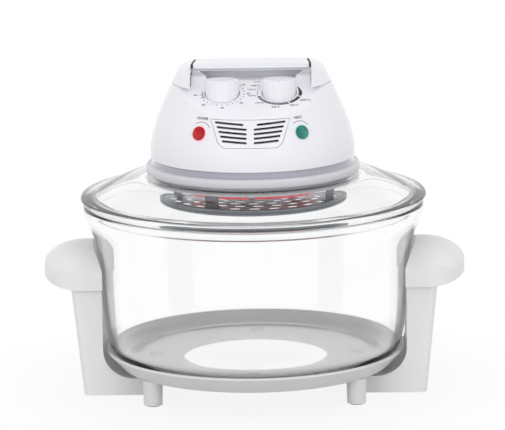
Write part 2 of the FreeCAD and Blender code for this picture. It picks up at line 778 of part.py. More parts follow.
def make_handle_inner_cover():
    """Plate that closes the handle's shell on the side of the bowl."""
    solid = fuse_all([post_block(0.0), ear_loft(0.0)]).cut(handle_face_cutter(0.0))
    plate = solid.common(handle_hollow()).common(handle_face_cutter(HANDLE_COVER))
    return cut_all(plate, arm_bosses(ARM_BOSS_R, RING_BOTTOM_Z))


# Lid


def make_glass_lid():
    """Glass lid: thick rim, locating skirt, shallow cone and a flat seat round its hole."""
    rim_top = LID_Z + LID_RIM_H
    low_r = LID_RIM_R - LID_RIM_TAPER
    under, round_r = LID_RIM_UNDER_ROUND, LID_RIM_ROUND
    under_cut = under * (1 - math.cos(math.pi / 4))
    round_cut = round_r * (1 - math.cos(math.pi / 4))
    skirt_z = LID_Z - LID_SKIRT_DROP
    skirt_in = LID_SKIRT_R - LID_GLASS
    step_z = rim_top + LID_STEP_H
    seat_run = LID_SEAT_R + LID_SEAT_RUN
    step_in_z = step_z - LID_GLASS
    skirt_end = (LID_SKIRT_R - LID_GLASS / 2, skirt_z - LID_SKIRT_END)
    edges = [
        line((LID_SKIRT_R, skirt_z), (LID_SKIRT_R, LID_Z)),
        line((LID_SKIRT_R, LID_Z), (low_r - under, LID_Z)),
        arc((low_r - under, LID_Z), (low_r - under_cut, LID_Z + under_cut), (low_r, LID_Z + under)),
        line((low_r, LID_Z + under), (LID_RIM_R, rim_top - round_r)),
        arc(
            (LID_RIM_R, rim_top - round_r),
            (LID_RIM_R - round_cut, rim_top - round_cut),
            (LID_RIM_R - round_r, rim_top),
        ),
        line((LID_RIM_R - round_r, rim_top), (LID_STEP_R, step_z)),
        bezier([
            (LID_STEP_R, step_z),
            (LID_STEP_R - LID_CONE_RUN, step_z + LID_CONE_RISE),
            (seat_run, SEAT_Z),
            (LID_SEAT_R, SEAT_Z),
        ]),
        line((LID_SEAT_R, SEAT_Z), (LID_HOLE_R, SEAT_Z)),
        line((LID_HOLE_R, SEAT_Z), (LID_HOLE_R, GLASS_UNDER_Z)),
        line((LID_HOLE_R, GLASS_UNDER_Z), (LID_SEAT_R, GLASS_UNDER_Z)),
        bezier([
            (LID_SEAT_R, GLASS_UNDER_Z),
            (seat_run, GLASS_UNDER_Z),
            (skirt_in - LID_SEAT_RUN, step_in_z + LID_CONE_RISE),
            (skirt_in, step_in_z),
        ]),
        line((skirt_in, step_in_z), (skirt_in, skirt_z)),
        arc((skirt_in, skirt_z), skirt_end, (LID_SKIRT_R, skirt_z)),
    ]
    return lathe_edges(edges)


def make_upper_gasket():
    return tube(GASKET_OUTER_R, LID_HOLE_R, SEAT_Z, COLLAR_Z)


def make_lower_gasket():
    return tube(CLAMP_RING_R - GASKET_IN, LID_HOLE_R, CLAMP_TOP_Z, GLASS_UNDER_Z)


def seat_screw(degrees):
    """Screw from below the clamp ring up into the collar's floor."""
    place = at(SEAT_SCREW_PITCH_R, degrees)
    head = cylinder(SEAT_SCREW_HEAD_R, CLAMP_Z - SEAT_SCREW_HEAD_H, CLAMP_Z, place.x, place.y)
    shank = cylinder(SEAT_SCREW_R, CLAMP_Z, COLLAR_FLOOR_Z, place.x, place.y)
    return fuse_all([head, shank])


def make_clamp_screws():
    return [seat_screw(degrees) for degrees in ring_angles(SEAT_SCREW_COUNT)]


def head_screw(degrees):
    """Screw from under the collar's floor up into a boss of the head cover."""
    place = at(SEAT_SCREW_PITCH_R, degrees)
    head = cylinder(SEAT_SCREW_HEAD_R, COLLAR_Z - SEAT_SCREW_HEAD_H, COLLAR_Z, place.x, place.y)
    shank = cylinder(SEAT_SCREW_R, COLLAR_Z, SHIELD_TOP_Z + SCREW_LENGTH, place.x, place.y)
    return fuse_all([head, shank])


def head_screw_angles():
    return ring_angles(SEAT_SCREW_COUNT, 180.0 / SEAT_SCREW_COUNT)


def make_head_screws():
    return [head_screw(degrees) for degrees in head_screw_angles()]


def make_clamp_ring():
    """Steel ring that pulls the gaskets against the glass."""
    ring = tube(CLAMP_RING_R, CLAMP_RING_HOLE_R, CLAMP_Z, CLAMP_TOP_Z)
    return cut_all(ring, make_clamp_screws())


def make_lid_collar():
    """Round white collar: bulged outside, floor inside for the screws."""
    inner = HEAD_BASE_R - COLLAR_WALL
    bulge_z = COLLAR_Z + COLLAR_BULGE * COLLAR_HEIGHT
    base_r = COLLAR_R - COLLAR_ROUND
    round_z = COLLAR_Z + COLLAR_ROUND
    shelf_r = HEAD_BASE_R + COLLAR_SHELF
    edges = [
        line((COLLAR_HOLE_R, COLLAR_Z), (base_r, COLLAR_Z)),
        bezier([(base_r, COLLAR_Z), (COLLAR_R, COLLAR_Z), (COLLAR_R, round_z), (COLLAR_R, bulge_z)]),
        bezier([(COLLAR_R, bulge_z), (COLLAR_R, COLLAR_TOP_Z), (shelf_r, COLLAR_TOP_Z)]),
        line((shelf_r, COLLAR_TOP_Z), (inner, COLLAR_TOP_Z)),
        line((inner, COLLAR_TOP_Z), (inner, COLLAR_FLOOR_Z)),
        line((inner, COLLAR_FLOOR_Z), (COLLAR_HOLE_R, COLLAR_FLOOR_Z)),
        line((COLLAR_HOLE_R, COLLAR_FLOOR_Z), (COLLAR_HOLE_R, COLLAR_Z)),
    ]
    return cut_all(lathe_edges(edges), make_clamp_screws() + make_head_screws())


def make_trim_ring():
    """Glossy band with a hollow waist between the collar and the head cover."""
    inner = HEAD_BASE_R - TRIM_WALL
    low_r = HEAD_BASE_R + TRIM_STEP
    high_r = HEAD_BASE_R - TRIM_STEP
    waist = (HEAD_BASE_R - TRIM_WAIST, (COLLAR_TOP_Z + HEAD_Z) / 2)
    edges = [
        line((inner, COLLAR_TOP_Z), (low_r, COLLAR_TOP_Z)),
        arc((low_r, COLLAR_TOP_Z), waist, (high_r, HEAD_Z)),
        line((high_r, HEAD_Z), (inner, HEAD_Z)),
        line((inner, HEAD_Z), (inner, COLLAR_TOP_Z)),
    ]
    return lathe_edges(edges)


# Head cover


def head_side_poles(inset):
    base = HEAD_BASE_R - inset
    shoulder = HEAD_SHOULDER_R - inset
    return [
        (base, HEAD_Z),
        (base + HEAD_BULGE, HEAD_Z + HEAD_BELLY),
        (shoulder + HEAD_LEAN * HEAD_LEAN_REACH, SHOULDER_Z - HEAD_LEAN_REACH),
        (shoulder, SHOULDER_Z),
    ]


def head_form(inset):
    """The dome's full round form, carry handle included, pulled inwards by inset."""
    shoulder = HEAD_SHOULDER_R - inset
    crown = HEAD_CROWN_R - inset
    top = HEAD_TOP_Z - inset
    rise = (top - SHOULDER_Z) * HEAD_CROWN_SHARE
    edges = [
        bezier(head_side_poles(inset)),
        bezier([
            (shoulder, SHOULDER_Z),
            (shoulder - HEAD_LEAN * rise, SHOULDER_Z + rise),
            (crown + HEAD_CROWN_RUN, top),
            (crown, top),
        ]),
        line((crown, top), (0, top)),
        line((0, top), (0, HEAD_Z)),
        line((0, HEAD_Z), (HEAD_BASE_R - inset, HEAD_Z)),
    ]
    return lathe_edges(edges)


def head_dome(inset):
    """The dome's side alone, flat at the shoulder, pulled inwards by inset."""
    edges = [
        bezier(head_side_poles(inset)),
        line((HEAD_SHOULDER_R - inset, SHOULDER_Z), (0, SHOULDER_Z)),
        line((0, SHOULDER_Z), (0, HEAD_Z)),
        line((0, HEAD_Z), (HEAD_BASE_R - inset, HEAD_Z)),
    ]
    return lathe_edges(edges)


def head_side(height):
    """Radius and outward lean of the dome's side at a height."""
    curve = Part.BezierCurve()
    curve.setPoles([Vector(radius, 0, z) for radius, z in head_side_poles(0.0)])
    low, high = 0.0, 1.0
    while high - low > 1e-6:
        middle = (low + high) / 2
        low, high = (middle, high) if curve.value(middle).z < height else (low, middle)
    run = curve.tangent(low)[0]
    return curve.value(low).x, Vector(run.z, 0, -run.x)


def deck_height(y):
    """Height of the sloping control deck."""
    return HEAD_Z + DECK_H + (y - DECK_Y) * math.tan(math.radians(DECK_ANGLE))


def above_cover(inset):
    """Everything above the control deck and the plateau behind it."""
    drop = inset / math.cos(math.radians(DECK_ANGLE))
    plateau = PLATEAU_Z - inset
    meet_y = DECK_Y + (plateau + drop - HEAD_Z - DECK_H) / math.tan(math.radians(DECK_ANGLE))
    low_y = 2 * DECK_Y
    points = [
        (low_y, deck_height(low_y) - drop), (meet_y, plateau), (-low_y, plateau), (-low_y, FAR), (low_y, FAR),
    ]
    return prism_x(points, -FAR, FAR)


def strap_zone(gap, back_y, step_z):
    """Straps and hubs of the carry handle, gap wider all round; above step_z they end at back_y."""
    low = STRAP_BOTTOM_Z - gap
    hub_r = PIVOT_BOSS_R + gap
    front = 2 * DECK_Y
    profile = [(front, low), (PIVOT_Y, low), (PIVOT_Y, step_z), (back_y, step_z), (back_y, FAR), (front, FAR)]
    zones = []
    for side in SIDES:
        x0, x1 = sorted((side * (STRAP_INNER_X - gap), side * FAR))
        zones.append(prism_x(profile, x0, x1))
        zones.append(Part.makeCylinder(hub_r, x1 - x0, Vector(x0, PIVOT_Y, PIVOT_Z), X_AXIS))
    return zones


def strap_pockets(wall):
    """Room in the cover for the straps and their hubs, open upwards."""
    gap = STRAP_GAP + wall
    return strap_zone(gap, PIVOT_Y + PIVOT_BOSS_R + gap, PIVOT_Z)


def well_places():
    return [(side * KNOB_X, KNOB_Y) for side in SIDES]


def wells(wall):
    return [cylinder(WELL_R + wall, WELL_FLOOR_Z - wall, FAR, x, y) for x, y in well_places()]


def scoop(wall):
    """Finger recess in the deck under the grip bar, wider at the back."""
    floor = HEAD_Z + SCOOP_FLOOR_H - wall
    front = SCOOP_FRONT_Y - wall
    back = SCOOP_BACK_Y + wall
    corners = [
        Vector(-SCOOP_FRONT_HALF - wall, front, floor),
        Vector(SCOOP_FRONT_HALF + wall, front, floor),
        Vector(SCOOP_BACK_HALF + wall, back, floor),
        Vector(-SCOOP_BACK_HALF - wall, back, floor),
    ]
    return polygon_face(corners).extrude(Vector(0, 0, FAR))


def cover_form(inset):
    """Dome cut by the deck and the plateau, with its upper edges rounded."""
    form = head_dome(inset).cut(above_cover(inset))

    def is_upper_edge(edge):
        extent = edge.BoundBox
        on_seam = extent.XLength < 1e-6
        return extent.ZMin > HEAD_Z + 1 and not on_seam

    return round_edges(form, DECK_EDGE_R - inset, is_upper_edge)


def grille_window(grow, y0, y1):
    """Prism along Y with the grille's outline."""
    top = HEAD_Z + GRILLE_TOP_H + grow
    bottom = HEAD_Z + GRILLE_BOTTOM_H - grow
    top_half = GRILLE_TOP_HALF + grow
    low_half = GRILLE_BOTTOM_HALF - GRILLE_CORNER + grow
    knee_half = GRILLE_BOTTOM_HALF + GRILLE_KNEE_X + grow
    knee_z = bottom + GRILLE_KNEE_H
    points = [
        (-low_half, bottom), (low_half, bottom), (knee_half, knee_z),
        (top_half, top), (-top_half, top), (-knee_half, knee_z),
    ]
    return prism_y(points, y0, y1)


def lamp_axis(side):
    """Point on the dome and outward direction of an indicator lamp."""
    height = HEAD_Z + LAMP_H
    radius, lean = head_side(height)
    y = -math.sqrt(radius * radius - LAMP_X * LAMP_X)
    point = Vector(side * LAMP_X, y, height)
    outward = Vector(point.x, point.y, 0).normalize() * lean.x + Z_AXIS * lean.z
    return point, outward.normalize()


def along(point, direction, radius, start, end):
    """Cylinder along a direction between two distances from a point."""
    return Part.makeCylinder(radius, end - start, point + direction * start, direction)


def gland_height():
    return HEAD_Z + GLAND_H


def pin_blocks():
    """Blocks inside the cover that hold the handle's pivot pins."""
    blocks = []
    for side in SIDES:
        x0, x1 = sorted((side * PIN_INNER_X, side * STRAP_INNER_X))
        half = PIN_BLOCK_HALF
        blocks.append(box(x0, x1, PIVOT_Y - half, PIVOT_Y + half, PIVOT_Z - half, PLATEAU_Z - HEAD_WALL / 2))
    return blocks


def head_bosses():
    """Screw bosses that run down from the cover to the heat shield."""
    top = HEAD_Z + HEAD_BELLY
    bosses = []
    for degrees in head_screw_angles():
        place = at(SEAT_SCREW_PITCH_R, degrees)
        bosses.append(cylinder(BOSS_R, SHIELD_TOP_Z, top, place.x, place.y))
        rib_end = HEAD_BASE_R - HEAD_WALL / 2
        rib = box(SEAT_SCREW_PITCH_R, rib_end, -BOSS_R / 2, BOSS_R / 2, HEAD_Z, top - BOSS_R)
        bosses += around(rib, [degrees])
    return bosses


def make_head_cover():
    """White shell of the head with wells, scoop, strap pockets and its openings."""
    outer = cut_all(cover_form(0.0), strap_pockets(0.0) + wells(0.0) + [scoop(0.0)])
    inner = cover_form(HEAD_WALL)
    inner = cut_all(inner, strap_pockets(HEAD_WALL) + wells(WELL_WALL) + [scoop(HEAD_WALL)])
    shell = outer.cut(inner)
    inside_blocks = [block.common(outer) for block in pin_blocks()]
    shell = shell.fuse(inside_blocks + head_bosses())
    shell = cut_all(shell, strap_pockets(0.0))
    holes = [grille_window(GRILLE_GAP, -FAR, 0)]
    lamp_axes = [lamp_axis(side) for side in SIDES]
    holes += [along(point, out, LENS_STEM_R, -2 * HEAD_WALL, HEAD_WALL) for point, out in lamp_axes]
    holes += [cylinder(SHAFT_R + BEARING_GAP, CONTROL_TOP_Z, WELL_FLOOR_Z, x, y) for x, y in well_places()]
    holes += [cylinder(BUTTON_R + BEARING_GAP, LEDGE_Z - 2 * HEAD_WALL, LEDGE_Z, SWITCH_X, SWITCH_Y)]
    holes += pivot_pins(PIN_R + BEARING_GAP, PIN_INNER_X - REST_GAP, STRAP_INNER_X)
    holes += [Part.makeCylinder(GLAND_R, FAR, Vector(0, 0, gland_height()), Y_AXIS)]
    holes += make_head_screws()
    return cut_all(shell, holes).removeSplitter()


def slot_cutter(side, row):
    """Slanted ventilation slot with round ends, cut along Y."""
    half = SLOT_HEIGHT / 2
    z = HEAD_Z + SLOT_TOP_H - row * SLOT_PITCH
    inner_x = SLOT_INNER_X + (0.0 if row else SLOT_FIRST_IN)
    outer_x = SLOT_OUTER_X - row * SLOT_TAPER
    drop = (outer_x - inner_x) * math.tan(math.radians(SLOT_SLOPE))
    ends = [(side * inner_x, z - drop), (side * outer_x, z)]
    pieces = [Part.makeCylinder(half, FAR, Vector(x, -FAR, end_z), Y_AXIS) for x, end_z in ends]
    (x0, z0), (x1, z1) = ends
    pieces.append(prism_y([(x0, z0 - half), (x1, z1 - half), (x1, z1 + half), (x0, z0 + half)], -FAR, 0))
    return pieces


def make_vent_grille():
    """Trapezoid grille that clips into the cover's window from inside."""
    front = -FAR
    plate = cover_form(0.0).cut(cover_form(HEAD_WALL)).common(grille_window(0.0, front, 0))
    flange = cover_form(HEAD_WALL).cut(cover_form(HEAD_WALL + GRILLE_FLANGE))
    flange = flange.common(grille_window(GRILLE_FLANGE_WIDTH, front, 0))
    grille = fuse_all([plate, flange])
    cutters = []
    for side in SIDES:
        for row in range(SLOTS):
            cutters += slot_cutter(side, row)
    return cut_all(grille, [fuse_all(cutters[index:index + 3]) for index in range(0, len(cutters), 3)])


def lens(side):
    """Domed lamp lens with a stem through the cover."""
    point, out = lamp_axis(side)
    top = LENS_RIM + LENS_DOME
    ball_r = (LENS_R ** 2 + LENS_DOME ** 2) / (2 * LENS_DOME)
    cap = Part.makeSphere(ball_r, Vector(0, 0, top - ball_r)).common(cylinder(LENS_R, 0, top))
    stem = cylinder(LENS_STEM_R, -HEAD_WALL - REST_GAP, LENS_RIM)
    shape = fuse_all([cap, stem])
    shape.Placement = FreeCAD.Placement(point, FreeCAD.Rotation(Z_AXIS, out))
    return shape


def lamp_holder(side):
    """Body of an indicator lamp behind its lens, with two contact pins."""
    point, out = lamp_axis(side)
    front = -HEAD_WALL - REST_GAP
    back = front - LAMP_BODY_LENGTH
    body = along(point, out, LAMP_BODY_R, back, front)
    side_way = out.cross(Z_AXIS).normalize()
    feet = [point + side_way * (sign * LAMP_BODY_R / 2) for sign in SIDES]
    pins = [along(place, out, LAMP_PIN_R, back - LAMP_PIN_LENGTH, back) for place in feet]
    return fuse_all([body] + pins)


# Controls


def fluted_cylinder(radius, depth, count, bottom, top):
    """Cylinder with fine upright flutes."""
    corners = []
    for index in range(2 * count):
        corner_r = radius - depth * (index % 2)
        corners.append(at(corner_r, 180.0 * index / count, bottom))
    return polygon_face(corners).extrude(Vector(0, 0, top - bottom))


def make_knob(side):
    """Fluted knob on an upright shaft, with a pointer groove in its top."""
    top = KNOB_Z + KNOB_HEIGHT
    barrel = fluted_cylinder(KNOB_R, KNOB_FLUTE_DEPTH, KNOB_FLUTES, KNOB_Z, top)
    cone = Part.makeCone(KNOB_R + KNOB_HEIGHT, KNOB_R - KNOB_EDGE, KNOB_HEIGHT + KNOB_EDGE,
                         Vector(0, 0, KNOB_Z - KNOB_EDGE))
    knob = barrel.common(cone)
    half = KNOB_MARK_WIDTH / 2
    mark = box(-half, half, -KNOB_R, -KNOB_R / 3, top - KNOB_MARK_DEPTH, top)
    bore = cylinder(SHAFT_R, KNOB_Z, KNOB_Z + SHAFT_IN_KNOB)
    knob = knob.cut(mark).cut(bore)
    knob.translate(Vector(side * KNOB_X, KNOB_Y, 0))
    return knob


def make_control_shaft(side):
    return cylinder(SHAFT_R, CONTROL_TOP_Z - SHAFT_IN_BODY, KNOB_Z + SHAFT_IN_KNOB, side * KNOB_X, KNOB_Y)


def control_body(side, height):
    """Round case of a control under its well, bored for its shaft."""
    x = side * KNOB_X
    body = cylinder(CONTROL_NECK_R, CONTROL_TOP_Z - height, CONTROL_TOP_Z, x, KNOB_Y)
    bore = cylinder(SHAFT_R + BEARING_GAP, CONTROL_TOP_Z - SHAFT_IN_BODY - REST_GAP, CONTROL_TOP_Z, x, KNOB_Y)
    return body.cut(bore)


def make_timer_body():
    """Clockwork timer: neck under the well, wide works and a bell cup below them."""
    neck = control_body(-1, TIMER_NECK_HEIGHT)
    bottom = CONTROL_TOP_Z - TIMER_HEIGHT
    works = cylinder(TIMER_R, bottom, CONTROL_TOP_Z - TIMER_NECK_HEIGHT, -KNOB_X, KNOB_Y)
    bore_end = CONTROL_TOP_Z - SHAFT_IN_BODY - REST_GAP
    works = works.cut(cylinder(SHAFT_R + BEARING_GAP, bore_end, CONTROL_TOP_Z, -KNOB_X, KNOB_Y))
    cup = cylinder(CONTROL_NECK_R, bottom - BELL_HEIGHT, bottom, -KNOB_X, KNOB_Y)
    return fuse_all([neck, works, cup])


def make_thermostat_body():
    """Thermostat case with a square contact block."""
    body = control_body(1, THERMOSTAT_HEIGHT)
    bottom = CONTROL_TOP_Z - THERMOSTAT_HEIGHT
    half = CONTROL_NECK_R * CONTACT_BLOCK
    low = bottom - CONTACT_BLOCK_HEIGHT
    block = box(KNOB_X - half, KNOB_X + half, KNOB_Y - half, KNOB_Y + half, low, bottom)
    return fuse_all([body, block])


def make_thermostat_bulb():
    """Sensing bulb that lies on the heat shield, with its two clips."""
    z = SHIELD_TOP_Z + BULB_R + BULB_LIFT
    start = Vector(-BULB_LENGTH / 2, BULB_Y, z)
    bulb = Part.makeCylinder(BULB_R, BULB_LENGTH, start, X_AXIS)
    clips = []
    for side in SIDES:
        x = side * BULB_LENGTH / 4
        half = BULB_CLIP_HALF
        clips.append(box(x - half, x + half, BULB_Y - BULB_R, BULB_Y + BULB_R, SHIELD_TOP_Z, z))
    return fuse_all([bulb] + clips)


# Carry handle and safety switch


def pivot_pins(radius, inner_x, outer_x):
    pins = []
    for side in SIDES:
        start = Vector(side * inner_x, PIVOT_Y, PIVOT_Z)
        pins.append(Part.makeCylinder(radius, outer_x - inner_x, start, X_AXIS * side))
    return pins


def grip_bar():
    """Flat bar across the top of the head, with a lip that fingers hook under."""
    points = [
        (BAR_FRONT_Y, HEAD_TOP_Z - BAR_LIP),
        (BAR_FRONT_Y + BAR_SLANT, BAR_BOTTOM_Z),
        (BAR_BACK_Y - BAR_SLANT, BAR_BOTTOM_Z),
        (BAR_BACK_Y, HEAD_TOP_Z - BAR_LIP),
        (BAR_BACK_Y, FAR),
        (BAR_FRONT_Y, FAR),
    ]
    return prism_x(points, -STRAP_INNER_X - BAR_END, STRAP_INNER_X + BAR_END)


def inlay_grooves():
    """Two grooves that run back over the bar's ends, close to the straps."""
    floor = HEAD_TOP_Z - INLAY_DEPTH
    back_y = BAR_BACK_Y - INLAY_BRIDGE
    grooves = []
    for side in SIDES:
        corners = [
            Vector(side * STRAP_INNER_X, BAR_FRONT_Y, floor),
            Vector(side * (STRAP_INNER_X - INLAY_WIDTH), BAR_FRONT_Y, floor),
            Vector(side * (STRAP_INNER_X - INLAY_WIDTH - INLAY_LEAN), back_y, floor),
            Vector(side * (STRAP_INNER_X - INLAY_LEAN), back_y, floor),
        ]
        grooves.append(polygon_face(corners).extrude(Vector(0, 0, FAR)))
    return grooves


def make_carry_handle():
    """U-shaped handle that lies flush on the head, with a hub at each pivot."""
    form = head_form(0.0)
    parts = [zone.common(form) for zone in strap_zone(0.0, STRAP_BACK_Y, PIVOT_Z + PIVOT_BOSS_R)]
    parts.append(grip_bar().common(form))
    handle = fuse_all(parts)
    return cut_all(handle, pivot_pins(PIN_R, STRAP_INNER_X - BAR_END, PIN_OUTER_X) + inlay_grooves())


def make_grip_inlays():
    """Black rubber strips that fill the bar's grooves to just under its surface."""
    form = head_form(INLAY_SINK)
    return [groove.common(form) for groove in inlay_grooves()]


def make_pivot_pins():
    return pivot_pins(PIN_R, PIN_INNER_X, PIN_OUTER_X)


def switch_block():
    top = LEDGE_Z - HEAD_WALL
    return box(SWITCH_X - SWITCH_HALF_X, SWITCH_X + SWITCH_HALF_X, SWITCH_Y - SWITCH_HALF_Y,
               SWITCH_Y + SWITCH_HALF_Y, top - SWITCH_HEIGHT, top)


def button_top():
    return STRAP_BOTTOM_Z - REST_GAP


def make_safety_switch():
    """Switch case under the ledge, bored for its button, with two terminals."""
    block = switch_block()
    bottom = block.BoundBox.ZMin
    tag_x = (SWITCH_X - TAG_HALF_X, SWITCH_X + TAG_HALF_X)
    tag = box(*tag_x, -TAG_HALF_Y, TAG_HALF_Y, bottom - TAG_LENGTH, bottom)
    tags = [tag.translated(Vector(0, SWITCH_Y + side * TAG_Y, 0)) for side in SIDES]
    low = button_top() - BUTTON_LENGTH - REST_GAP
    bore = cylinder(BUTTON_R + BEARING_GAP, low, block.BoundBox.ZMax, SWITCH_X, SWITCH_Y)
    return fuse_all([block] + tags).cut(bore)


def make_switch_button():
    return cylinder(BUTTON_R, button_top() - BUTTON_LENGTH, button_top(), SWITCH_X, SWITCH_Y)


# Heater


def make_heat_shield():
    """Steel plate that closes the head against the heat."""
    plate = cylinder(SHIELD_R, COLLAR_FLOOR_Z, SHIELD_TOP_Z)
    return cut_all(plate, [cylinder(SHAFT_HOLE_R, COLLAR_FLOOR_Z, SHIELD_TOP_Z)] + make_head_screws())


def make_reflector():
    """Polished dish above the lamp, with a flared skirt."""
    bottom = REFLECTOR_Z - REFLECTOR_DEPTH
    sheet = REFLECTOR_SHEET
    profile = [
        (SHAFT_HOLE_R, REFLECTOR_Z), (REFLECTOR_R, REFLECTOR_Z), (REFLECTOR_R + REFLECTOR_FLARE, bottom),
        (REFLECTOR_R + REFLECTOR_FLARE - sheet, bottom), (REFLECTOR_R - sheet, REFLECTOR_Z - sheet),
        (SHAFT_HOLE_R, REFLECTOR_Z - sheet),
    ]
    return lathe(profile)


def make_reflector_spacers():
    places = [at(SPACER_PITCH_R, angle) for angle in ring_angles(SPACER_COUNT, SPACER_START)]
    return [cylinder(SPACER_R, REFLECTOR_Z, COLLAR_FLOOR_Z, place.x, place.y) for place in places]


def lamp_ring_circle(sweep):
    """Arc that the lamp tube follows, open towards the back."""
    half = sweep / 2
    points = [at(LAMP_RING_R, -90 + turn, LAMP_RING_Z) for turn in (-half, 0, half)]
    return Part.Arc(*points).toShape()


def make_halogen_tube():
    """Quartz ring tube of the halogen lamp."""
    path = Part.Wire([lamp_ring_circle(LAMP_RING_SWEEP)])
    start = at(LAMP_RING_R, -90 - LAMP_RING_SWEEP / 2, LAMP_RING_Z)
    tangent = at(1.0, -LAMP_RING_SWEEP / 2)
    profile = Part.Wire([Part.makeCircle(LAMP_TUBE_R, start, tangent)])
    return path.makePipeShell([profile], True, False)


def make_lamp_end_caps():
    """Ceramic caps on the two ends of the lamp tube."""
    caps = []
    for side in SIDES:
        turn = side * LAMP_RING_SWEEP / 2
        end = at(LAMP_RING_R, -90 + turn, LAMP_RING_Z)
        direction = at(1.0, turn) * side
        caps.append(Part.makeCylinder(LAMP_CAP_R, LAMP_CAP_LENGTH, end, direction))
    return caps


def make_lamp_clips():
    """Spring clips that hang the lamp tube from the reflector."""
    half = CLIP_WIDTH / 2
    top = REFLECTOR_Z - REFLECTOR_SHEET
    inner = LAMP_TUBE_R
    hoop = Part.makeCylinder(inner + CLIP_SHEET, CLIP_WIDTH, Vector(LAMP_RING_R, -half, LAMP_RING_Z), Y_AXIS)
    stem_x = (LAMP_RING_R - CLIP_SHEET / 2, LAMP_RING_R + CLIP_SHEET / 2)
    stem = box(*stem_x, -half, half, LAMP_RING_Z + inner, top)
    foot_plate = box(LAMP_RING_R - CLIP_FOOT, LAMP_RING_R + CLIP_FOOT, -half, half, top - CLIP_SHEET, top)
    clip = fuse_all([hoop, stem, foot_plate])
    clips = around(clip, ring_angles(CLIP_COUNT, -90.0))
    return [piece.cut(make_halogen_tube()) for piece in clips]


def guard_slot(radius, degrees):
    """Round-ended slot through the guard, along the circle."""
    half = (GUARD_SLOT_LENGTH - 2 * GUARD_SLOT_R) / 2
    low = GUARD_Z
    high = GUARD_Z + GUARD_SHEET
    pieces = [cylinder(GUARD_SLOT_R, low, high, radius, side * half) for side in SIDES]
    pieces.append(box(radius - GUARD_SLOT_R, radius + GUARD_SLOT_R, -half, half, low, high))
    return around(fuse_all(pieces), [degrees])[0]


def make_guard():
    """Perforated steel guard: a plate with an upright wall between two rolled rims."""
    plate = cylinder(GUARD_R, GUARD_Z, GUARD_Z + GUARD_SHEET)
    skirt_z = GUARD_Z - GUARD_SKIRT
    skirt = tube(GUARD_R, GUARD_R - GUARD_SHEET, skirt_z, GUARD_Z + GUARD_SHEET)
    rims = [Part.makeTorus(GUARD_R, GUARD_RIM_R, Vector(0, 0, z)) for z in (skirt_z, GUARD_Z + GUARD_SHEET / 2)]
    slots = []
    for share, count in GUARD_RINGS:
        slots += [guard_slot(share * GUARD_R, angle) for angle in ring_angles(count, share * GUARD_TURN)]
    return fuse_all([cut_all(plate, slots), skirt] + rims)


def make_guard_struts():
    """Dark sheet-metal struts from the clamp ring down to the guard."""
    low = GUARD_Z + GUARD_SHEET
    half = STRUT_WIDTH / 2
    inner = STRUT_R - STRUT_FOOT
    web = box(STRUT_R - STRUT_SHEET, STRUT_R, -half, half, low, CLAMP_Z)
    low_foot = box(inner - STRUT_FOOT, STRUT_R, -half, half, low, low + STRUT_SHEET)
    high_foot = box(inner - STRUT_FOOT / 2, STRUT_R, -half, half, CLAMP_Z - STRUT_SHEET, CLAMP_Z)
    return around(fuse_all([web, low_foot, high_foot]), ring_angles(STRUT_COUNT, STRUT_START))


# Fans and motor


def make_motor_shaft():
    low = FAN_Z - NUT_H - SHAFT_TIP
    return cylinder(MOTOR_SHAFT_R, low, UPPER_BRACKET_Z + BEARING_H)


def make_hot_air_fan():
    """Aluminium fan of the hot side: hub, disc and upright blades."""
    disc = cylinder(HOT_FAN_R, FAN_Z, FAN_Z + FAN_SHEET)
    hub = cylinder(FAN_HUB_R, FAN_Z, FAN_Z + HOT_FAN_BLADE_H)
    root = FAN_HUB_R - FAN_BLADE_ROOT
    blade = box(root, HOT_FAN_R - FAN_SHEET, 0, FAN_SHEET, FAN_Z, FAN_Z + HOT_FAN_BLADE_H)
    blades = around(blade, ring_angles(HOT_FAN_BLADES))
    return fuse_all([disc, hub] + blades).cut(make_motor_shaft())


def make_fan_nut():
    """Hexagon nut under the hot-air fan."""
    corners = [at(NUT_R, angle, FAN_Z - NUT_H) for angle in ring_angles(6)]
    return polygon_face(corners).extrude(Vector(0, 0, NUT_H)).cut(make_motor_shaft())


def make_cooling_fan():
    """Plastic fan that draws cool air through the head."""
    high = COOL_FAN_Z + COOL_FAN_H
    hub = cylinder(COOL_FAN_HUB_R, COOL_FAN_Z, high)
    middle = (COOL_FAN_Z + high) / 2
    half_chord = (COOL_FAN_H / 2 - COOL_FAN_BLADE) / math.sin(math.radians(COOL_FAN_PITCH))
    root = COOL_FAN_HUB_R - COOL_FAN_BLADE
    blade = box(root, COOL_FAN_R, -half_chord, half_chord, middle, middle + COOL_FAN_BLADE)
    blade.rotate(Vector(0, 0, middle), X_AXIS, COOL_FAN_PITCH)
    blades = around(blade, ring_angles(COOL_FAN_BLADES))
    return fuse_all([hub] + blades).cut(make_motor_shaft())


def bearing_bracket(plate_z, hub_up):
    """Bar with a bearing hub in the middle."""
    half_y = BRACKET_BAR_HALF
    bar = box(-BRACKET_HALF, BRACKET_HALF, -half_y, half_y, plate_z, plate_z + BRACKET_SHEET)
    hub_z = plate_z if hub_up else plate_z + BRACKET_SHEET - BEARING_H
    hub = cylinder(BEARING_R, hub_z, hub_z + BEARING_H)
    bore = cylinder(MOTOR_SHAFT_R + BEARING_GAP, hub_z, hub_z + BEARING_H)
    return fuse_all([bar, hub]).cut(bore)


def make_lower_bracket():
    """Lower bearing bracket, which stands on the heat shield by two legs beyond the fan."""
    bracket = bearing_bracket(MOTOR_Z, False)
    legs = [cylinder(BRACKET_LEG_R, SHIELD_TOP_Z, MOTOR_Z, side * BRACKET_HALF, 0) for side in SIDES]
    return fuse_all([bracket] + legs)


def make_upper_bracket():
    return cut_all(bearing_bracket(UPPER_BRACKET_Z, True).common(
        box(-CORE_HALF_X, CORE_HALF_X, -CORE_HALF_Y, CORE_HALF_Y, UPPER_BRACKET_Z, FAR)), make_motor_screws())


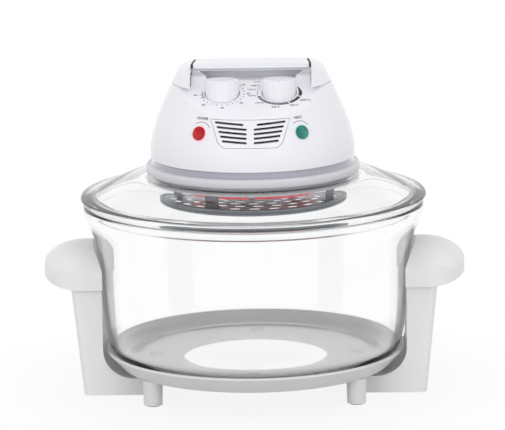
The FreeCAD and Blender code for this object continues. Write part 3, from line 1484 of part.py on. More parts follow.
def make_motor_core():
    """Laminated core with a round bore for the rotor."""
    core = box(-CORE_HALF_X, CORE_HALF_X, -CORE_HALF_Y, CORE_HALF_Y, CORE_Z, CORE_TOP_Z)
    return cut_all(core, [cylinder(ROTOR_R + ROTOR_GAP, CORE_Z, CORE_TOP_Z)] + make_motor_screws())


def make_motor_coil():
    """Wound coil behind the core."""
    middle = (CORE_Z + CORE_TOP_Z) / 2
    half = COIL_H / 2
    coil = box(-COIL_HALF_X, COIL_HALF_X, CORE_HALF_Y, CORE_HALF_Y + COIL_DEPTH, middle - half, middle + half)
    return round_edges(coil, COIL_EDGE_R, lambda edge: abs(edge.BoundBox.YLength - COIL_DEPTH) < 1e-6)


def make_rotor():
    return cylinder(ROTOR_R, CORE_Z, CORE_TOP_Z).cut(make_motor_shaft())


def make_motor_screws():
    """Long screws through both brackets and the core, with sleeves between."""
    screws = []
    for side in SIDES:
        x = side * MOTOR_SCREW_X
        head_z = UPPER_BRACKET_Z + BRACKET_SHEET
        shank = cylinder(SCREW_R, MOTOR_Z + BRACKET_SHEET, head_z, x, 0)
        head = cylinder(SCREW_HEAD_R, head_z, head_z + SCREW_HEAD_H, x, 0)
        low_sleeve = cylinder(SCREW_HEAD_R, MOTOR_Z + BRACKET_SHEET, CORE_Z, x, 0)
        high_sleeve = cylinder(SCREW_HEAD_R, CORE_TOP_Z, UPPER_BRACKET_Z, x, 0)
        screws.append(fuse_all([shank, head, low_sleeve, high_sleeve]))
    return screws


# Wiring


def make_thermal_cutout():
    """Round thermal cut-out on the heat shield, with two blades."""
    top = SHIELD_TOP_Z + CUTOUT_H
    body = cylinder(CUTOUT_R, SHIELD_TOP_Z, top, CUTOUT_X, CUTOUT_Y)
    blades = []
    for side in SIDES:
        y = CUTOUT_Y + side * CUTOUT_R / 2
        y0 = y - BLADE_SHEET / 2
        blade_x = (CUTOUT_X - BLADE_HALF, CUTOUT_X + BLADE_HALF)
        blades.append(box(*blade_x, y0, y0 + BLADE_SHEET, top, top + TAG_LENGTH))
    return fuse_all([body] + blades)


def make_terminal_block():
    """Terminal block with a screw pocket for each way."""
    block = box(-BLOCK_HALF_X, BLOCK_HALF_X, BLOCK_Y - BLOCK_HALF_Y, BLOCK_Y + BLOCK_HALF_Y, SHIELD_TOP_Z,
                SHIELD_TOP_Z + BLOCK_H)
    pitch = 2 * BLOCK_HALF_X / BLOCK_WAYS
    top = SHIELD_TOP_Z + BLOCK_H
    places = [pitch * (way - (BLOCK_WAYS - 1) / 2) for way in range(BLOCK_WAYS)]
    pockets = [cylinder(BLOCK_SCREW_R, top - BLOCK_SCREW_DEPTH, top, x, BLOCK_Y) for x in places]
    return cut_all(block, pockets)


def make_cord_gland():
    """Gland in the rear wall that the supply cord passes through."""
    z = gland_height()
    wall_y = head_side(z - GLAND_FLANGE_R)[0]
    inside = wall_y - HEAD_WALL - GLAND_IN
    body = Part.makeCylinder(GLAND_R, GLAND_IN + HEAD_WALL + GLAND_OUT, Vector(0, inside, z), Y_AXIS)
    flange = Part.makeCylinder(GLAND_FLANGE_R, GLAND_FLANGE, Vector(0, wall_y, z), Y_AXIS)
    bore = Part.makeCylinder(GLAND_BORE_R, FAR, Vector(0, 0, z), Y_AXIS)
    return fuse_all([body, flange]).cut(bore)


def build():
    """Every sub-part by name; a list holds separate solids that share a node."""
    handle = make_handle_shell()
    handle_cover = make_handle_inner_cover()
    return {
        "stand_ring": make_stand_ring(),
        "feet": make_feet(),
        "foot_pads": make_foot_pads(),
        "bowl_pads": make_bowl_pads(),
        "stand_screws": make_stand_screws(),
        "right_handle": handle,
        "left_handle": mirror_x(handle),
        "right_handle_cover": handle_cover,
        "left_handle_cover": mirror_x(handle_cover),
        "glass_bowl": make_glass_bowl(),
        "glass_lid": make_glass_lid(),
        "upper_gasket": make_upper_gasket(),
        "lower_gasket": make_lower_gasket(),
        "clamp_ring": make_clamp_ring(),
        "clamp_screws": make_clamp_screws(),
        "lid_collar": make_lid_collar(),
        "trim_ring": make_trim_ring(),
        "head_cover": make_head_cover(),
        "head_screws": make_head_screws(),
        "vent_grille": make_vent_grille(),
        "power_lamp_lens": lens(-1),
        "heat_lamp_lens": lens(1),
        "power_lamp_holder": lamp_holder(-1),
        "heat_lamp_holder": lamp_holder(1),
        "timer_knob": make_knob(-1),
        "timer_shaft": make_control_shaft(-1),
        "timer_body": make_timer_body(),
        "thermostat_knob": make_knob(1),
        "thermostat_shaft": make_control_shaft(1),
        "thermostat_body": make_thermostat_body(),
        "thermostat_bulb": make_thermostat_bulb(),
        "carry_handle": make_carry_handle(),
        "grip_inlays": make_grip_inlays(),
        "pivot_pins": make_pivot_pins(),
        "safety_switch": make_safety_switch(),
        "switch_button": make_switch_button(),
        "heat_shield": make_heat_shield(),
        "reflector": make_reflector(),
        "reflector_spacers": make_reflector_spacers(),
        "halogen_tube": make_halogen_tube(),
        "lamp_end_caps": make_lamp_end_caps(),
        "lamp_clips": make_lamp_clips(),
        "guard": make_guard(),
        "guard_struts": make_guard_struts(),
        "motor_shaft": make_motor_shaft(),
        "hot_air_fan": make_hot_air_fan(),
        "fan_nut": make_fan_nut(),
        "cooling_fan": make_cooling_fan(),
        "lower_bearing_bracket": make_lower_bracket(),
        "upper_bearing_bracket": make_upper_bracket(),
        "motor_core": make_motor_core(),
        "motor_coil": make_motor_coil(),
        "motor_rotor": make_rotor(),
        "motor_screws": make_motor_screws(),
        "thermal_cutout": make_thermal_cutout(),
        "terminal_block": make_terminal_block(),
        "cord_gland": make_cord_gland(),
    }


def export(parts):
    """Write each sub-part to its own STEP file."""
    os.makedirs("parts", exist_ok=True)
    for name, shape in parts.items():
        solids = shape if isinstance(shape, list) else shape.Solids
        whole = solids[0] if len(solids) == 1 else Part.makeCompound(solids)
        whole.exportStep(os.path.join("parts", name + ".step"))
        extent = whole.BoundBox
        size = f"{extent.XLength:.1f} x {extent.YLength:.1f} x {extent.ZLength:.1f} mm"
        levels = f"z {extent.ZMin:.1f} to {extent.ZMax:.1f}"
        print(f"{name}: {len(solids)} solid(s), {size}, {levels}, valid {whole.isValid()}")


export(build())
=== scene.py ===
# %% [markdown]
# A halogen oven: a glass bowl in a white plastic stand, and a glass lid that carries a white heater
# head with a timer, a thermostat, a fan and a fold-down carry handle.
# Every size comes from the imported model, so the first step loads it and keeps the box that it fills.

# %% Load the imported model
import json
import math
import bmesh
import bpy
from mathutils import Matrix, Vector
from mathutils.bvhtree import BVHTree
from mathutils.geometry import interpolate_bezier


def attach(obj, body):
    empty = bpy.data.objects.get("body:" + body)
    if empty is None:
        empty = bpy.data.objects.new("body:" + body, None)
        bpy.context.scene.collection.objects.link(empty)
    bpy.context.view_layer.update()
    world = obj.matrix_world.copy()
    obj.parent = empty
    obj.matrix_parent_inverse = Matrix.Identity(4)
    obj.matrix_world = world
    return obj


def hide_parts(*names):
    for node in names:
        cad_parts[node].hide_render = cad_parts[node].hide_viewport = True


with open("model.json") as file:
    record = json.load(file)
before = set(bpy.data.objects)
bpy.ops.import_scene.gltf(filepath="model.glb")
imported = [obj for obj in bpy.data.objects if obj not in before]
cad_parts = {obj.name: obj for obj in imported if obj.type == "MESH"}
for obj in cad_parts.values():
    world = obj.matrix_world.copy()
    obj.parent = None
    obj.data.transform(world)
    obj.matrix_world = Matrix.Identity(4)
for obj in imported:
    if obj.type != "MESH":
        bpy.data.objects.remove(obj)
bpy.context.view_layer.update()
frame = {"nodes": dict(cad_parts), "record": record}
nodes = frame["nodes"]
MM = 0.001

# %% [markdown]
# ## Camera
# The oven is seen from the front, a little above its middle, through a long lens. The horizon isn't
# quite level: it leans by just under one degree, so the camera rolls by as much.

# %% Camera
CAMERA_DISTANCE = 3.2
CAMERA_ELEVATION = math.radians(11.4)
CAMERA_AZIMUTH = math.radians(1.3)
CAMERA_ROLL = math.radians(-0.93)
CAMERA_LENS, SENSOR_WIDTH = 236, 36
VIEW_END = 30
TARGET = Vector((-0.0011, 0.0, 0.1685))


def make_camera():
    """Camera on a sphere round the target, rolled about its own line of sight."""
    data = bpy.data.cameras.new("camera")
    data.lens = CAMERA_LENS
    data.sensor_width = SENSOR_WIDTH
    data.clip_end = VIEW_END
    camera = bpy.data.objects.new("camera", data)
    flat = math.cos(CAMERA_ELEVATION)
    side, front = math.sin(CAMERA_AZIMUTH), -math.cos(CAMERA_AZIMUTH)
    away = Vector((side * flat, front * flat, math.sin(CAMERA_ELEVATION)))
    camera.location = TARGET + away * CAMERA_DISTANCE
    facing = (-away).to_track_quat("-Z", "Y")
    camera.rotation_mode = "QUATERNION"
    camera.rotation_quaternion = facing @ Matrix.Rotation(CAMERA_ROLL, 3, "Z").to_quaternion()
    bpy.context.scene.collection.objects.link(camera)
    bpy.context.scene.camera = camera
    return camera


camera = make_camera()
print("camera at", [round(value, 3) for value in camera.location])

# %% [markdown]
# ## Node materials
# A finish here is a Principled shader plus a few texture nodes that read Object coordinates. These
# helpers keep each recipe short: one makes the material, one adds a node, one joins two sockets.

# %% Material helpers
def new_material(name, **settings):
    """Material with its Principled shader's own sockets set."""
    material = bpy.data.materials.new(name)
    material.use_nodes = True
    shader = material.node_tree.nodes["Principled BSDF"]
    for socket, value in settings.items():
        shader.inputs[socket.replace("_", " ")].default_value = value
    return material, shader


def add_node(material, kind, **settings):
    """Shader node with some of its properties or unlinked inputs set."""
    node = material.node_tree.nodes.new(kind)
    for key, value in settings.items():
        if hasattr(node, key):
            setattr(node, key, value)
        else:
            node.inputs[key.replace("_", " ")].default_value = value
    return node


def join(material, source, target):
    material.node_tree.links.new(source, target)


def object_noise(material, scale, detail=2.0, stretch=(1, 1, 1)):
    """Noise texture that reads the piece's own Object coordinates."""
    place = add_node(material, "ShaderNodeTexCoord")
    mapping = add_node(material, "ShaderNodeMapping")
    mapping.inputs["Scale"].default_value = stretch
    noise = add_node(material, "ShaderNodeTexNoise", Scale=scale, Detail=detail)
    join(material, place.outputs["Object"], mapping.inputs["Vector"])
    join(material, mapping.outputs["Vector"], noise.inputs["Vector"])
    return noise.outputs["Fac"]


print("first helpers ready")

# %% [markdown]
# Three more helpers turn a 0-1 noise into what a shader wants: a range of numbers, a colour between
# two near shades, or small heights that tilt the surface's normal.

# %% More material helpers
RAMP_START, RAMP_END = 0.3, 0.7


def spread(material, factor, low, high):
    """Remap a 0-1 factor to a range of numbers."""
    node = add_node(material, "ShaderNodeMapRange")
    node.inputs["To Min"].default_value = low
    node.inputs["To Max"].default_value = high
    join(material, factor, node.inputs["Value"])
    return node.outputs["Result"]


def tint(material, factor, first, second):
    """Colour that wanders between two near shades."""
    ramp = add_node(material, "ShaderNodeValToRGB")
    ramp.color_ramp.elements[0].color = (*first, 1)
    ramp.color_ramp.elements[1].color = (*second, 1)
    ramp.color_ramp.elements[0].position = RAMP_START
    ramp.color_ramp.elements[1].position = RAMP_END
    join(material, factor, ramp.inputs["Fac"])
    return ramp.outputs["Color"]


def bump(material, shader, factor, distance):
    """Small heights from a factor, as a tilt of the surface's normal."""
    node = add_node(material, "ShaderNodeBump", Strength=1.0, Distance=distance)
    join(material, factor, node.inputs["Height"])
    join(material, node.outputs["Normal"], shader.inputs["Normal"])


print("all material helpers ready")

# %% [markdown]
# ## Plastics
# Moulded plastic is never quite even: its colour drifts a little where the melt met, its gloss
# varies, and the surface has a shallow waviness (flow) or a fine grain (a spark-eroded mould).

# %% Plastics
COLOUR_DRIFT, GLOSS_DRIFT = 0.02, 0.04
COAT_ROUGHNESS = 0.06
DRIFT_SCALE, GLOSS_SCALE, GRAIN_SCALE = 14, 60, 900


def moulded(name, colour, roughness, grain, coat=0.0):
    """Plastic with a slow drift of colour, uneven gloss and a fine grain."""
    material, shader = new_material(name, Coat_Weight=coat, Coat_Roughness=COAT_ROUGHNESS)
    slow = object_noise(material, DRIFT_SCALE)
    paler = tuple(min(1.0, value + COLOUR_DRIFT) for value in colour)
    join(material, tint(material, slow, colour, paler), shader.inputs["Base Color"])
    uneven = object_noise(material, GLOSS_SCALE, 4)
    gloss = spread(material, uneven, roughness - GLOSS_DRIFT, roughness + GLOSS_DRIFT)
    join(material, gloss, shader.inputs["Roughness"])
    bump(material, shader, object_noise(material, GRAIN_SCALE, 3), grain)
    return material


gloss_white = moulded("head_plastic", (0.83, 0.83, 0.88), 0.24, 0.00002, coat=0.4)
warm_white = moulded("handle_plastic", (0.80, 0.79, 0.80), 0.36, 0.00004)
# Painted shade: the collar is white plastic, but its colour is set greyer than the head's to stand for the
# shade on it.
collar_painted_shade = moulded("collar_plastic_painted_shade", (0.63, 0.63, 0.67), 0.3, 0.00003, coat=0.3)
# Painted shade: the stand and feet are white plastic, set greyer because they sit low and get less light from
# above.
stand_painted_shade = moulded("stand_plastic_painted_shade", (0.72, 0.71, 0.71), 0.36, 0.00004)
trim_grey = moulded("trim_plastic", (0.36, 0.35, 0.42), 0.14, 0.00001, coat=1.0)
matte_black = moulded("black_plastic", (0.02, 0.02, 0.022), 0.45, 0.00006)
case_grey = moulded("grey_plastic", (0.30, 0.30, 0.32), 0.5, 0.00006)
coil_tape = moulded("copper_tape", (0.55, 0.30, 0.06), 0.5, 0.00008)
silicone = moulded("silicone", (0.52, 0.52, 0.53), 0.5, 0.00006)
pad_rubber = moulded("pad_rubber", (0.035, 0.035, 0.036), 0.8, 0.00012)
grip_rubber = moulded("grip_rubber", (0.022, 0.022, 0.028), 0.6, 0.00008)
ceramic = moulded("ceramic_white", (0.74, 0.71, 0.66), 0.6, 0.00010)
print("plastics made")

# %% [markdown]
# ## Metals
# Stainless sheet is brushed: fine lines run one way, which stretches the highlight across them. The
# lines are a noise squeezed along one axis; polished parts keep the same recipe with less bump.

# %% Metals
LINE_SHADE, LINE_ROUGHNESS = 0.9, 0.08


def brushed(name, colour, roughness, depth, stretch=(1, 1, 40), scale=120):
    """Metal with lines of slightly different roughness and height."""
    material, shader = new_material(name, Metallic=1.0)
    lines = object_noise(material, scale, 3, stretch)
    darker = tuple(value * LINE_SHADE for value in colour)
    join(material, tint(material, lines, darker, colour), shader.inputs["Base Color"])
    join(material, spread(material, lines, roughness, roughness + LINE_ROUGHNESS), shader.inputs["Roughness"])
    bump(material, shader, lines, depth)
    return material


steel = brushed("steel", (0.60, 0.60, 0.61), 0.3, 0.00003)
dark_steel = brushed("dark_steel", (0.05, 0.055, 0.07), 0.35, 0.00003)
guard_steel = brushed("bright_steel", (0.22, 0.24, 0.26), 0.25, 0.00001)
polished = brushed("polished_aluminium", (0.84, 0.84, 0.85), 0.14, 0.00001)
screw_steel = brushed("screw_steel", (0.58, 0.58, 0.60), 0.3, 0.00003)
core_steel = brushed("core_steel", (0.28, 0.29, 0.31), 0.45, 0.0002, stretch=(1, 1, 30), scale=60)
brass = brushed("brass", (0.70, 0.52, 0.22), 0.25, 0.00002)
tungsten = brushed("tungsten", (0.35, 0.32, 0.30), 0.35, 0.00001)
print("metals made")

# %% [markdown]
# ## Glass
# Clear glass bends light by an index of about 1.47. A faint smear map in its roughness keeps it from
# looking computed. Lamp rays pass straight through it, so that the inside of the bowl is lit as it
# is behind real glass. The heater's tube is dyed ruby, and the two pilot lenses are dyed and lit.

# %% Glass
GLASS_INDEX = 1.47
GLASS_DRIFT = 0.02
SMEAR_SCALE = 25


def let_lamps_through(material, shader, shade):
    """Mix in a clear shader for the rays that look for lamps, and for nothing else."""
    path = add_node(material, "ShaderNodeLightPath")
    clear = add_node(material, "ShaderNodeBsdfTransparent", Color=shade)
    mix = add_node(material, "ShaderNodeMixShader")
    out = material.node_tree.nodes["Material Output"]
    join(material, path.outputs["Is Shadow Ray"], mix.inputs[0])
    join(material, shader.outputs["BSDF"], mix.inputs[1])
    join(material, clear.outputs["BSDF"], mix.inputs[2])
    join(material, mix.outputs["Shader"], out.inputs["Surface"])


def dyed_glass(name, colour, roughness, smear=0.02, glow=0.0):
    """Glass with a colour of its own and, where it is lit, a faint glow of that colour."""
    material, shader = new_material(name, Transmission_Weight=1.0, IOR=GLASS_INDEX)
    slow = object_noise(material, SMEAR_SCALE, 3)
    paler = tuple(min(1.0, value + GLASS_DRIFT) for value in colour)
    join(material, tint(material, slow, colour, paler), shader.inputs["Base Color"])
    join(material, spread(material, slow, roughness, roughness + smear), shader.inputs["Roughness"])
    shader.inputs["Emission Color"].default_value = (*colour, 1)
    shader.inputs["Emission Strength"].default_value = glow
    let_lamps_through(material, shader, (*paler, 1))
    return material


clear_glass = dyed_glass("clear_glass", (0.98, 0.985, 0.99), 0.0)
quartz_red = dyed_glass("quartz_red", (0.50, 0.008, 0.015), 0.02, glow=0.5)
lens_red = dyed_glass("lens_red", (0.70, 0.01, 0.02), 0.08, smear=0.05, glow=0.35)
lens_green = dyed_glass("lens_green", (0.05, 0.36, 0.30), 0.08, smear=0.05, glow=0.4)
print("glasses made")

# %% [markdown]
# ## Finishes for the model's own nodes
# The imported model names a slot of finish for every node, so one table is enough to dress them all.

# %% Dress the nodes
FINISHES = {
    "head_plastic": gloss_white, "handle_plastic": warm_white, "trim_plastic": trim_grey,
    "clear_glass": clear_glass, "quartz_red": quartz_red, "lens_red": lens_red, "lens_green": lens_green,
    "steel": steel, "dark_steel": dark_steel, "bright_steel": guard_steel, "polished_aluminium": polished,
    "screw_steel": screw_steel, "silicone": silicone, "pad_rubber": pad_rubber, "ceramic_white": ceramic,
    "black_plastic": matte_black, "grey_plastic": case_grey, "core_steel": core_steel,
    "copper_tape": coil_tape, "brass": brass, "grip_rubber": grip_rubber,
}


def dress(node, material):
    """Give a node of the model its finish."""
    for slot in nodes[node].material_slots:
        slot.material = material


for part in frame["record"]["subparts"]:
    dress(part["node"], FINISHES[part["material_slot"]])
# The collar's greyer white is painted shade.
dress("lid_collar", collar_painted_shade)
# The stand ring's and the feet's greyer white is painted shade.
dress("stand_ring", stand_painted_shade)
dress("feet", stand_painted_shade)

# %% [markdown]
# ## Blown glass
# The bowl and the lid are bodies of revolution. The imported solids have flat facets, which refraction
# would show, so both are turned again from the same outline in many more steps. An outline is a list
# of (radius, height) points in millimetres; Bezier runs, a spline and arcs give its smooth stretches.

# %% Turning on a lathe
LATHE_STEPS = 192
SLOPE_PASSES = 40
SHARP_ANGLE = math.radians(40)
MERGE_GAP = 1e-6
TINY = 1e-7


def bezier_run(poles, steps):
    """Points of a cubic curve from its four (radius, height) poles, without the last one."""
    knots = [Vector((radius, height, 0)) for radius, height in poles]
    return [(point.x, point.y) for point in interpolate_bezier(*knots, steps + 1)][:-1]


def end_slope(slants, gaps):
    """Slope at the first point of the cubic through the first four, from its divided differences."""
    bend = (slants[1] - slants[0]) / (gaps[0] + gaps[1])
    next_bend = (slants[2] - slants[1]) / (gaps[1] + gaps[2])
    twist = (next_bend - bend) / (gaps[0] + gaps[1] + gaps[2])
    return slants[0] - gaps[0] * bend + gaps[0] * (gaps[0] + gaps[1]) * twist


def spline_slopes(slants, gaps):
    """Slopes at the points of a cubic spline; each pass evens out the bend on a point's two sides."""
    slopes = [end_slope(slants, gaps)] + slants[1:] + [end_slope(slants[::-1], gaps[::-1])]
    for _ in range(SLOPE_PASSES):
        for i in range(1, len(gaps)):
            drive = 3 * (gaps[i] * slants[i - 1] + gaps[i - 1] * slants[i])
            pull = gaps[i] * slopes[i - 1] + gaps[i - 1] * slopes[i + 1]
            slopes[i] = (drive - pull) / (2 * (gaps[i - 1] + gaps[i]))
    return slopes


def smooth_run(points, steps):
    """Points of the spline through all the given ones, without the last one; steps has one count a gap."""
    knots = [Vector(point) for point in points]
    gaps = [(end - start).length for start, end in zip(knots, knots[1:])]
    slants = [(end - start) / gap for start, end, gap in zip(knots, knots[1:], gaps)]
    slopes = spline_slopes(slants, gaps)
    run = []
    for i, gap in enumerate(gaps):
        first, second = knots[i] + slopes[i] * gap / 3, knots[i + 1] - slopes[i + 1] * gap / 3
        run += bezier_run([knots[i], first, second, knots[i + 1]], steps[i])
    return run


def round_run(centre, radius, start, end, steps):
    """Points of an arc between two angles in degrees, without the last one."""
    angles = [math.radians(start + (end - start) * step / steps) for step in range(steps)]
    return [(centre[0] + radius * math.cos(angle), centre[1] + radius * math.sin(angle)) for angle in angles]


def link_mesh(name, mesh, material):
    """Object at the origin for a finished mesh."""
    piece = bpy.data.objects.new(name, mesh)
    mesh.materials.clear()
    mesh.materials.append(material)
    bpy.context.scene.collection.objects.link(piece)
    return piece


def turned(name, outline, material):
    """Turn a closed outline about the Z axis; points on the axis become single poles."""
    shape = bmesh.new()
    loop = [shape.verts.new((radius * MM, 0, height * MM)) for radius, height in outline]
    pairs = [(loop[i - 1], loop[i]) for i in range(len(loop))]
    rim = [shape.edges.new(pair) for pair in pairs if pair[0].co.x + pair[1].co.x > TINY]
    bmesh.ops.spin(shape, geom=rim + loop, axis=(0, 0, 1), angle=2 * math.pi, steps=LATHE_STEPS,
                   use_merge=True)
    bmesh.ops.remove_doubles(shape, verts=shape.verts, dist=MERGE_GAP)
    bmesh.ops.dissolve_degenerate(shape, edges=shape.edges, dist=TINY)
    bmesh.ops.recalc_face_normals(shape, faces=shape.faces)
    mesh = bpy.data.meshes.new(name)
    shape.to_mesh(mesh)
    shape.free()
    mesh.shade_smooth()
    mesh.set_sharp_from_angle(angle=SHARP_ANGLE)
    return link_mesh(name, mesh, material)


print("lathe ready")

# %% [markdown]
# The bowl's wall is 4.2 mm thick all over: the inner outline is the outer one moved in by that much.
# A rounded heel leads from the flat floor to the side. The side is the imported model's own curve, a
# spline through the heel, the waist, the shoulder and both ends of the lip, as far as the bend just
# under the lip; from there the lip rises nearly straight, and it ends in a half round.

# %% Glass bowl
BOWL_WALL = 4.2
BOWL_HEEL = [(114.0, 30.0), (129.96, 30.0), (139.0, 35.95), (142.0, 47.0)]
BOWL_SIDE = [(142.0, 47.0), (149.0, 104.0), (158.2, 160.0), (163.6, 173.0), (164.0, 181.9)]
LIP_BEND = [(162.1, 168.4), (163.3, 171.3), (163.3, 170.8), (163.6, 173.0)]
LIP_RISE = [(163.6, 173.0), (163.9, 175.2), (163.9, 180.4), (164.0, 181.9)]
SIDE_STEPS = [12, 12, 4, 1]
HEEL_STEPS, BEND_STEPS, LIP_STEPS = 11, 3, 10


def inner_heel():
    """The heel's poles moved in by the wall, and off the floor by as much, but for the last one."""
    *low, (top_r, top_z) = BOWL_HEEL
    return [(radius - BOWL_WALL, height + BOWL_WALL) for radius, height in low] + [(top_r - BOWL_WALL, top_z)]


def side_run():
    """Points of the side from the heel to the top of the lip: the spline, the bend and the rise."""
    below = [point for point in smooth_run(BOWL_SIDE, SIDE_STEPS) if point[1] < LIP_BEND[0][1]]
    return below + bezier_run(LIP_BEND, BEND_STEPS) + bezier_run(LIP_RISE, BEND_STEPS) + [LIP_RISE[-1]]


def bowl_outline():
    """Outer side going up, the lip, and the inner side going down."""
    side = side_run()
    lip_r, lip_z = side[-1]
    outline = [(0, BOWL_HEEL[0][1])] + bezier_run(BOWL_HEEL, HEEL_STEPS) + side[:-1]
    outline += round_run((lip_r - BOWL_WALL / 2, lip_z), BOWL_WALL / 2, 0, 180, LIP_STEPS)
    outline += [(radius - BOWL_WALL, height) for radius, height in reversed(side[1:])]
    outline += bezier_run(inner_heel()[::-1], HEEL_STEPS)
    return outline + [inner_heel()[0], (0, BOWL_HEEL[0][1] + BOWL_WALL)]


bowl = turned("bowl_glass", bowl_outline(), clear_glass)
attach(bowl, "bowl")
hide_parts("glass_bowl")
print("bowl faces:", len(bowl.data.polygons))

# %% [markdown]
# The lid is one pressing: a thick round rim that lies on the bowl, a skirt that drops inside it, a
# shallow cone, and a flat seat round the hole for the heater head. The rim is narrower at its underside.

# %% Glass lid
LID_Z, RIM_TOP, RIM_R = 184.6, 191.5, 166.5
RIM_LOW_R, RIM_ROUND, RIM_UNDER_ROUND = 164.5, 2.2, 1.2
SKIRT_R, SKIRT_IN, SKIRT_Z = 155.0, 151.0, 176.1
STEP_R, STEP_Z = 154.4, 193.0
SEAT_R, SEAT_Z, UNDER_Z, HOLE_R = 103.2, 211.5, 207.5, 88.5
LID_CONE = [(STEP_R, STEP_Z), (136.4, 202.0), (119.2, SEAT_Z), (SEAT_R, SEAT_Z)]
LID_UNDER = [(SEAT_R, UNDER_Z), (119.2, UNDER_Z), (135.0, 198.0), (SKIRT_IN, 189.0)]
CONE_STEPS, RIM_STEPS, RIM_UNDER_STEPS, SKIRT_STEPS = 27, 8, 6, 8


def lid_outline():
    """Outline of the pressing, from the foot of its skirt and round."""
    low_centre = (RIM_LOW_R - RIM_UNDER_ROUND, LID_Z + RIM_UNDER_ROUND)
    top_centre = (RIM_R - RIM_ROUND, RIM_TOP - RIM_ROUND)
    skirt_centre = ((SKIRT_R + SKIRT_IN) / 2, SKIRT_Z)
    outline = [(SKIRT_R, SKIRT_Z), (SKIRT_R, LID_Z)]
    outline += round_run(low_centre, RIM_UNDER_ROUND, -90, 0, RIM_UNDER_STEPS)
    outline += [(RIM_LOW_R, LID_Z + RIM_UNDER_ROUND)]
    outline += round_run(top_centre, RIM_ROUND, 0, 90, RIM_STEPS) + [(RIM_R - RIM_ROUND, RIM_TOP)]
    outline += bezier_run(LID_CONE, CONE_STEPS) + [(SEAT_R, SEAT_Z), (HOLE_R, SEAT_Z), (HOLE_R, UNDER_Z)]
    outline += bezier_run(LID_UNDER, CONE_STEPS) + [LID_UNDER[-1], (SKIRT_IN, SKIRT_Z)]
    return outline + round_run(skirt_centre, (SKIRT_R - SKIRT_IN) / 2, 180, 360, SKIRT_STEPS)[1:]


lid = turned("lid_glass", lid_outline(), clear_glass)
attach(lid, "lid")
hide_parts("glass_lid")
print("lid faces:", len(lid.data.polygons))

# %% [markdown]
# ## Heater coil
# The lamp's tube holds a tungsten wire, wound as a fine helix that follows the tube's own ring. That
# is a rule, so Geometry Nodes wind it: one long curve whose points are moved by their index. The
# next helper makes an empty tree with named inputs, and the one after it bakes a tree to a mesh.

# %% Geometry Nodes helpers
def new_tree(name, **inputs):
    """Tree with a geometry in and out and one named float or integer input for each size."""
    tree = bpy.data.node_groups.new(name, "GeometryNodeTree")
    tree.interface.new_socket("Geometry", in_out="INPUT", socket_type="NodeSocketGeometry")
    for label, value in inputs.items():
        kind = "NodeSocketInt" if isinstance(value, int) else "NodeSocketFloat"
        tree.interface.new_socket(label, in_out="INPUT", socket_type=kind)
    tree.interface.new_socket("Geometry", in_out="OUTPUT", socket_type="NodeSocketGeometry")
    return tree, tree.nodes.new("NodeGroupInput"), tree.nodes.new("NodeGroupOutput")


def tree_math(tree, operation, first, second=None):
    """Maths node whose two inputs are sockets or plain numbers."""
    node = tree.nodes.new("ShaderNodeMath")
    node.operation = operation
    for socket, value in zip(node.inputs, (first, second)):
        if isinstance(value, (int, float)):
            socket.default_value = value
        elif value is not None:
            tree.links.new(value, socket)
    return node.outputs[0]


def finish_tree(tree, geometry, out, material):
    """Realize Instances and Set Material, as the last two nodes."""
    realize = tree.nodes.new("GeometryNodeRealizeInstances")
    paint = tree.nodes.new("GeometryNodeSetMaterial")
    paint.inputs["Material"].default_value = material
    tree.links.new(geometry, realize.inputs["Geometry"])
    tree.links.new(realize.outputs["Geometry"], paint.inputs["Geometry"])
    tree.links.new(paint.outputs["Geometry"], out.inputs[0])


def grown(name, tree, sizes):
    """Plain mesh that a tree gives for these sizes."""
    carrier = bpy.data.objects.new(name + "_carrier", bpy.data.meshes.new(name + "_carrier"))
    bpy.context.scene.collection.objects.link(carrier)
    modifier = carrier.modifiers.new("grow", "NODES")
    modifier.node_group = tree
    for item in tree.interface.items_tree:
        if item.in_out == "INPUT" and item.name in sizes:
            modifier[item.identifier] = sizes[item.name]
    ready = carrier.evaluated_get(bpy.context.evaluated_depsgraph_get())
    mesh = bpy.data.meshes.new_from_object(ready)
    mesh.name = name
    carrier.modifiers.remove(modifier)
    bpy.data.objects.remove(carrier)
    return mesh


print("Geometry Nodes helpers ready")

# %% Heater coil
WIRE_SIDES = 6
COIL = {"Points": 1800, "Turns": 190.0, "Sweep": math.radians(312), "Start": math.radians(-66), "Ring": 0.056,
        "Wind": 0.0013, "Height": 0.2007, "Wire": 0.0002}


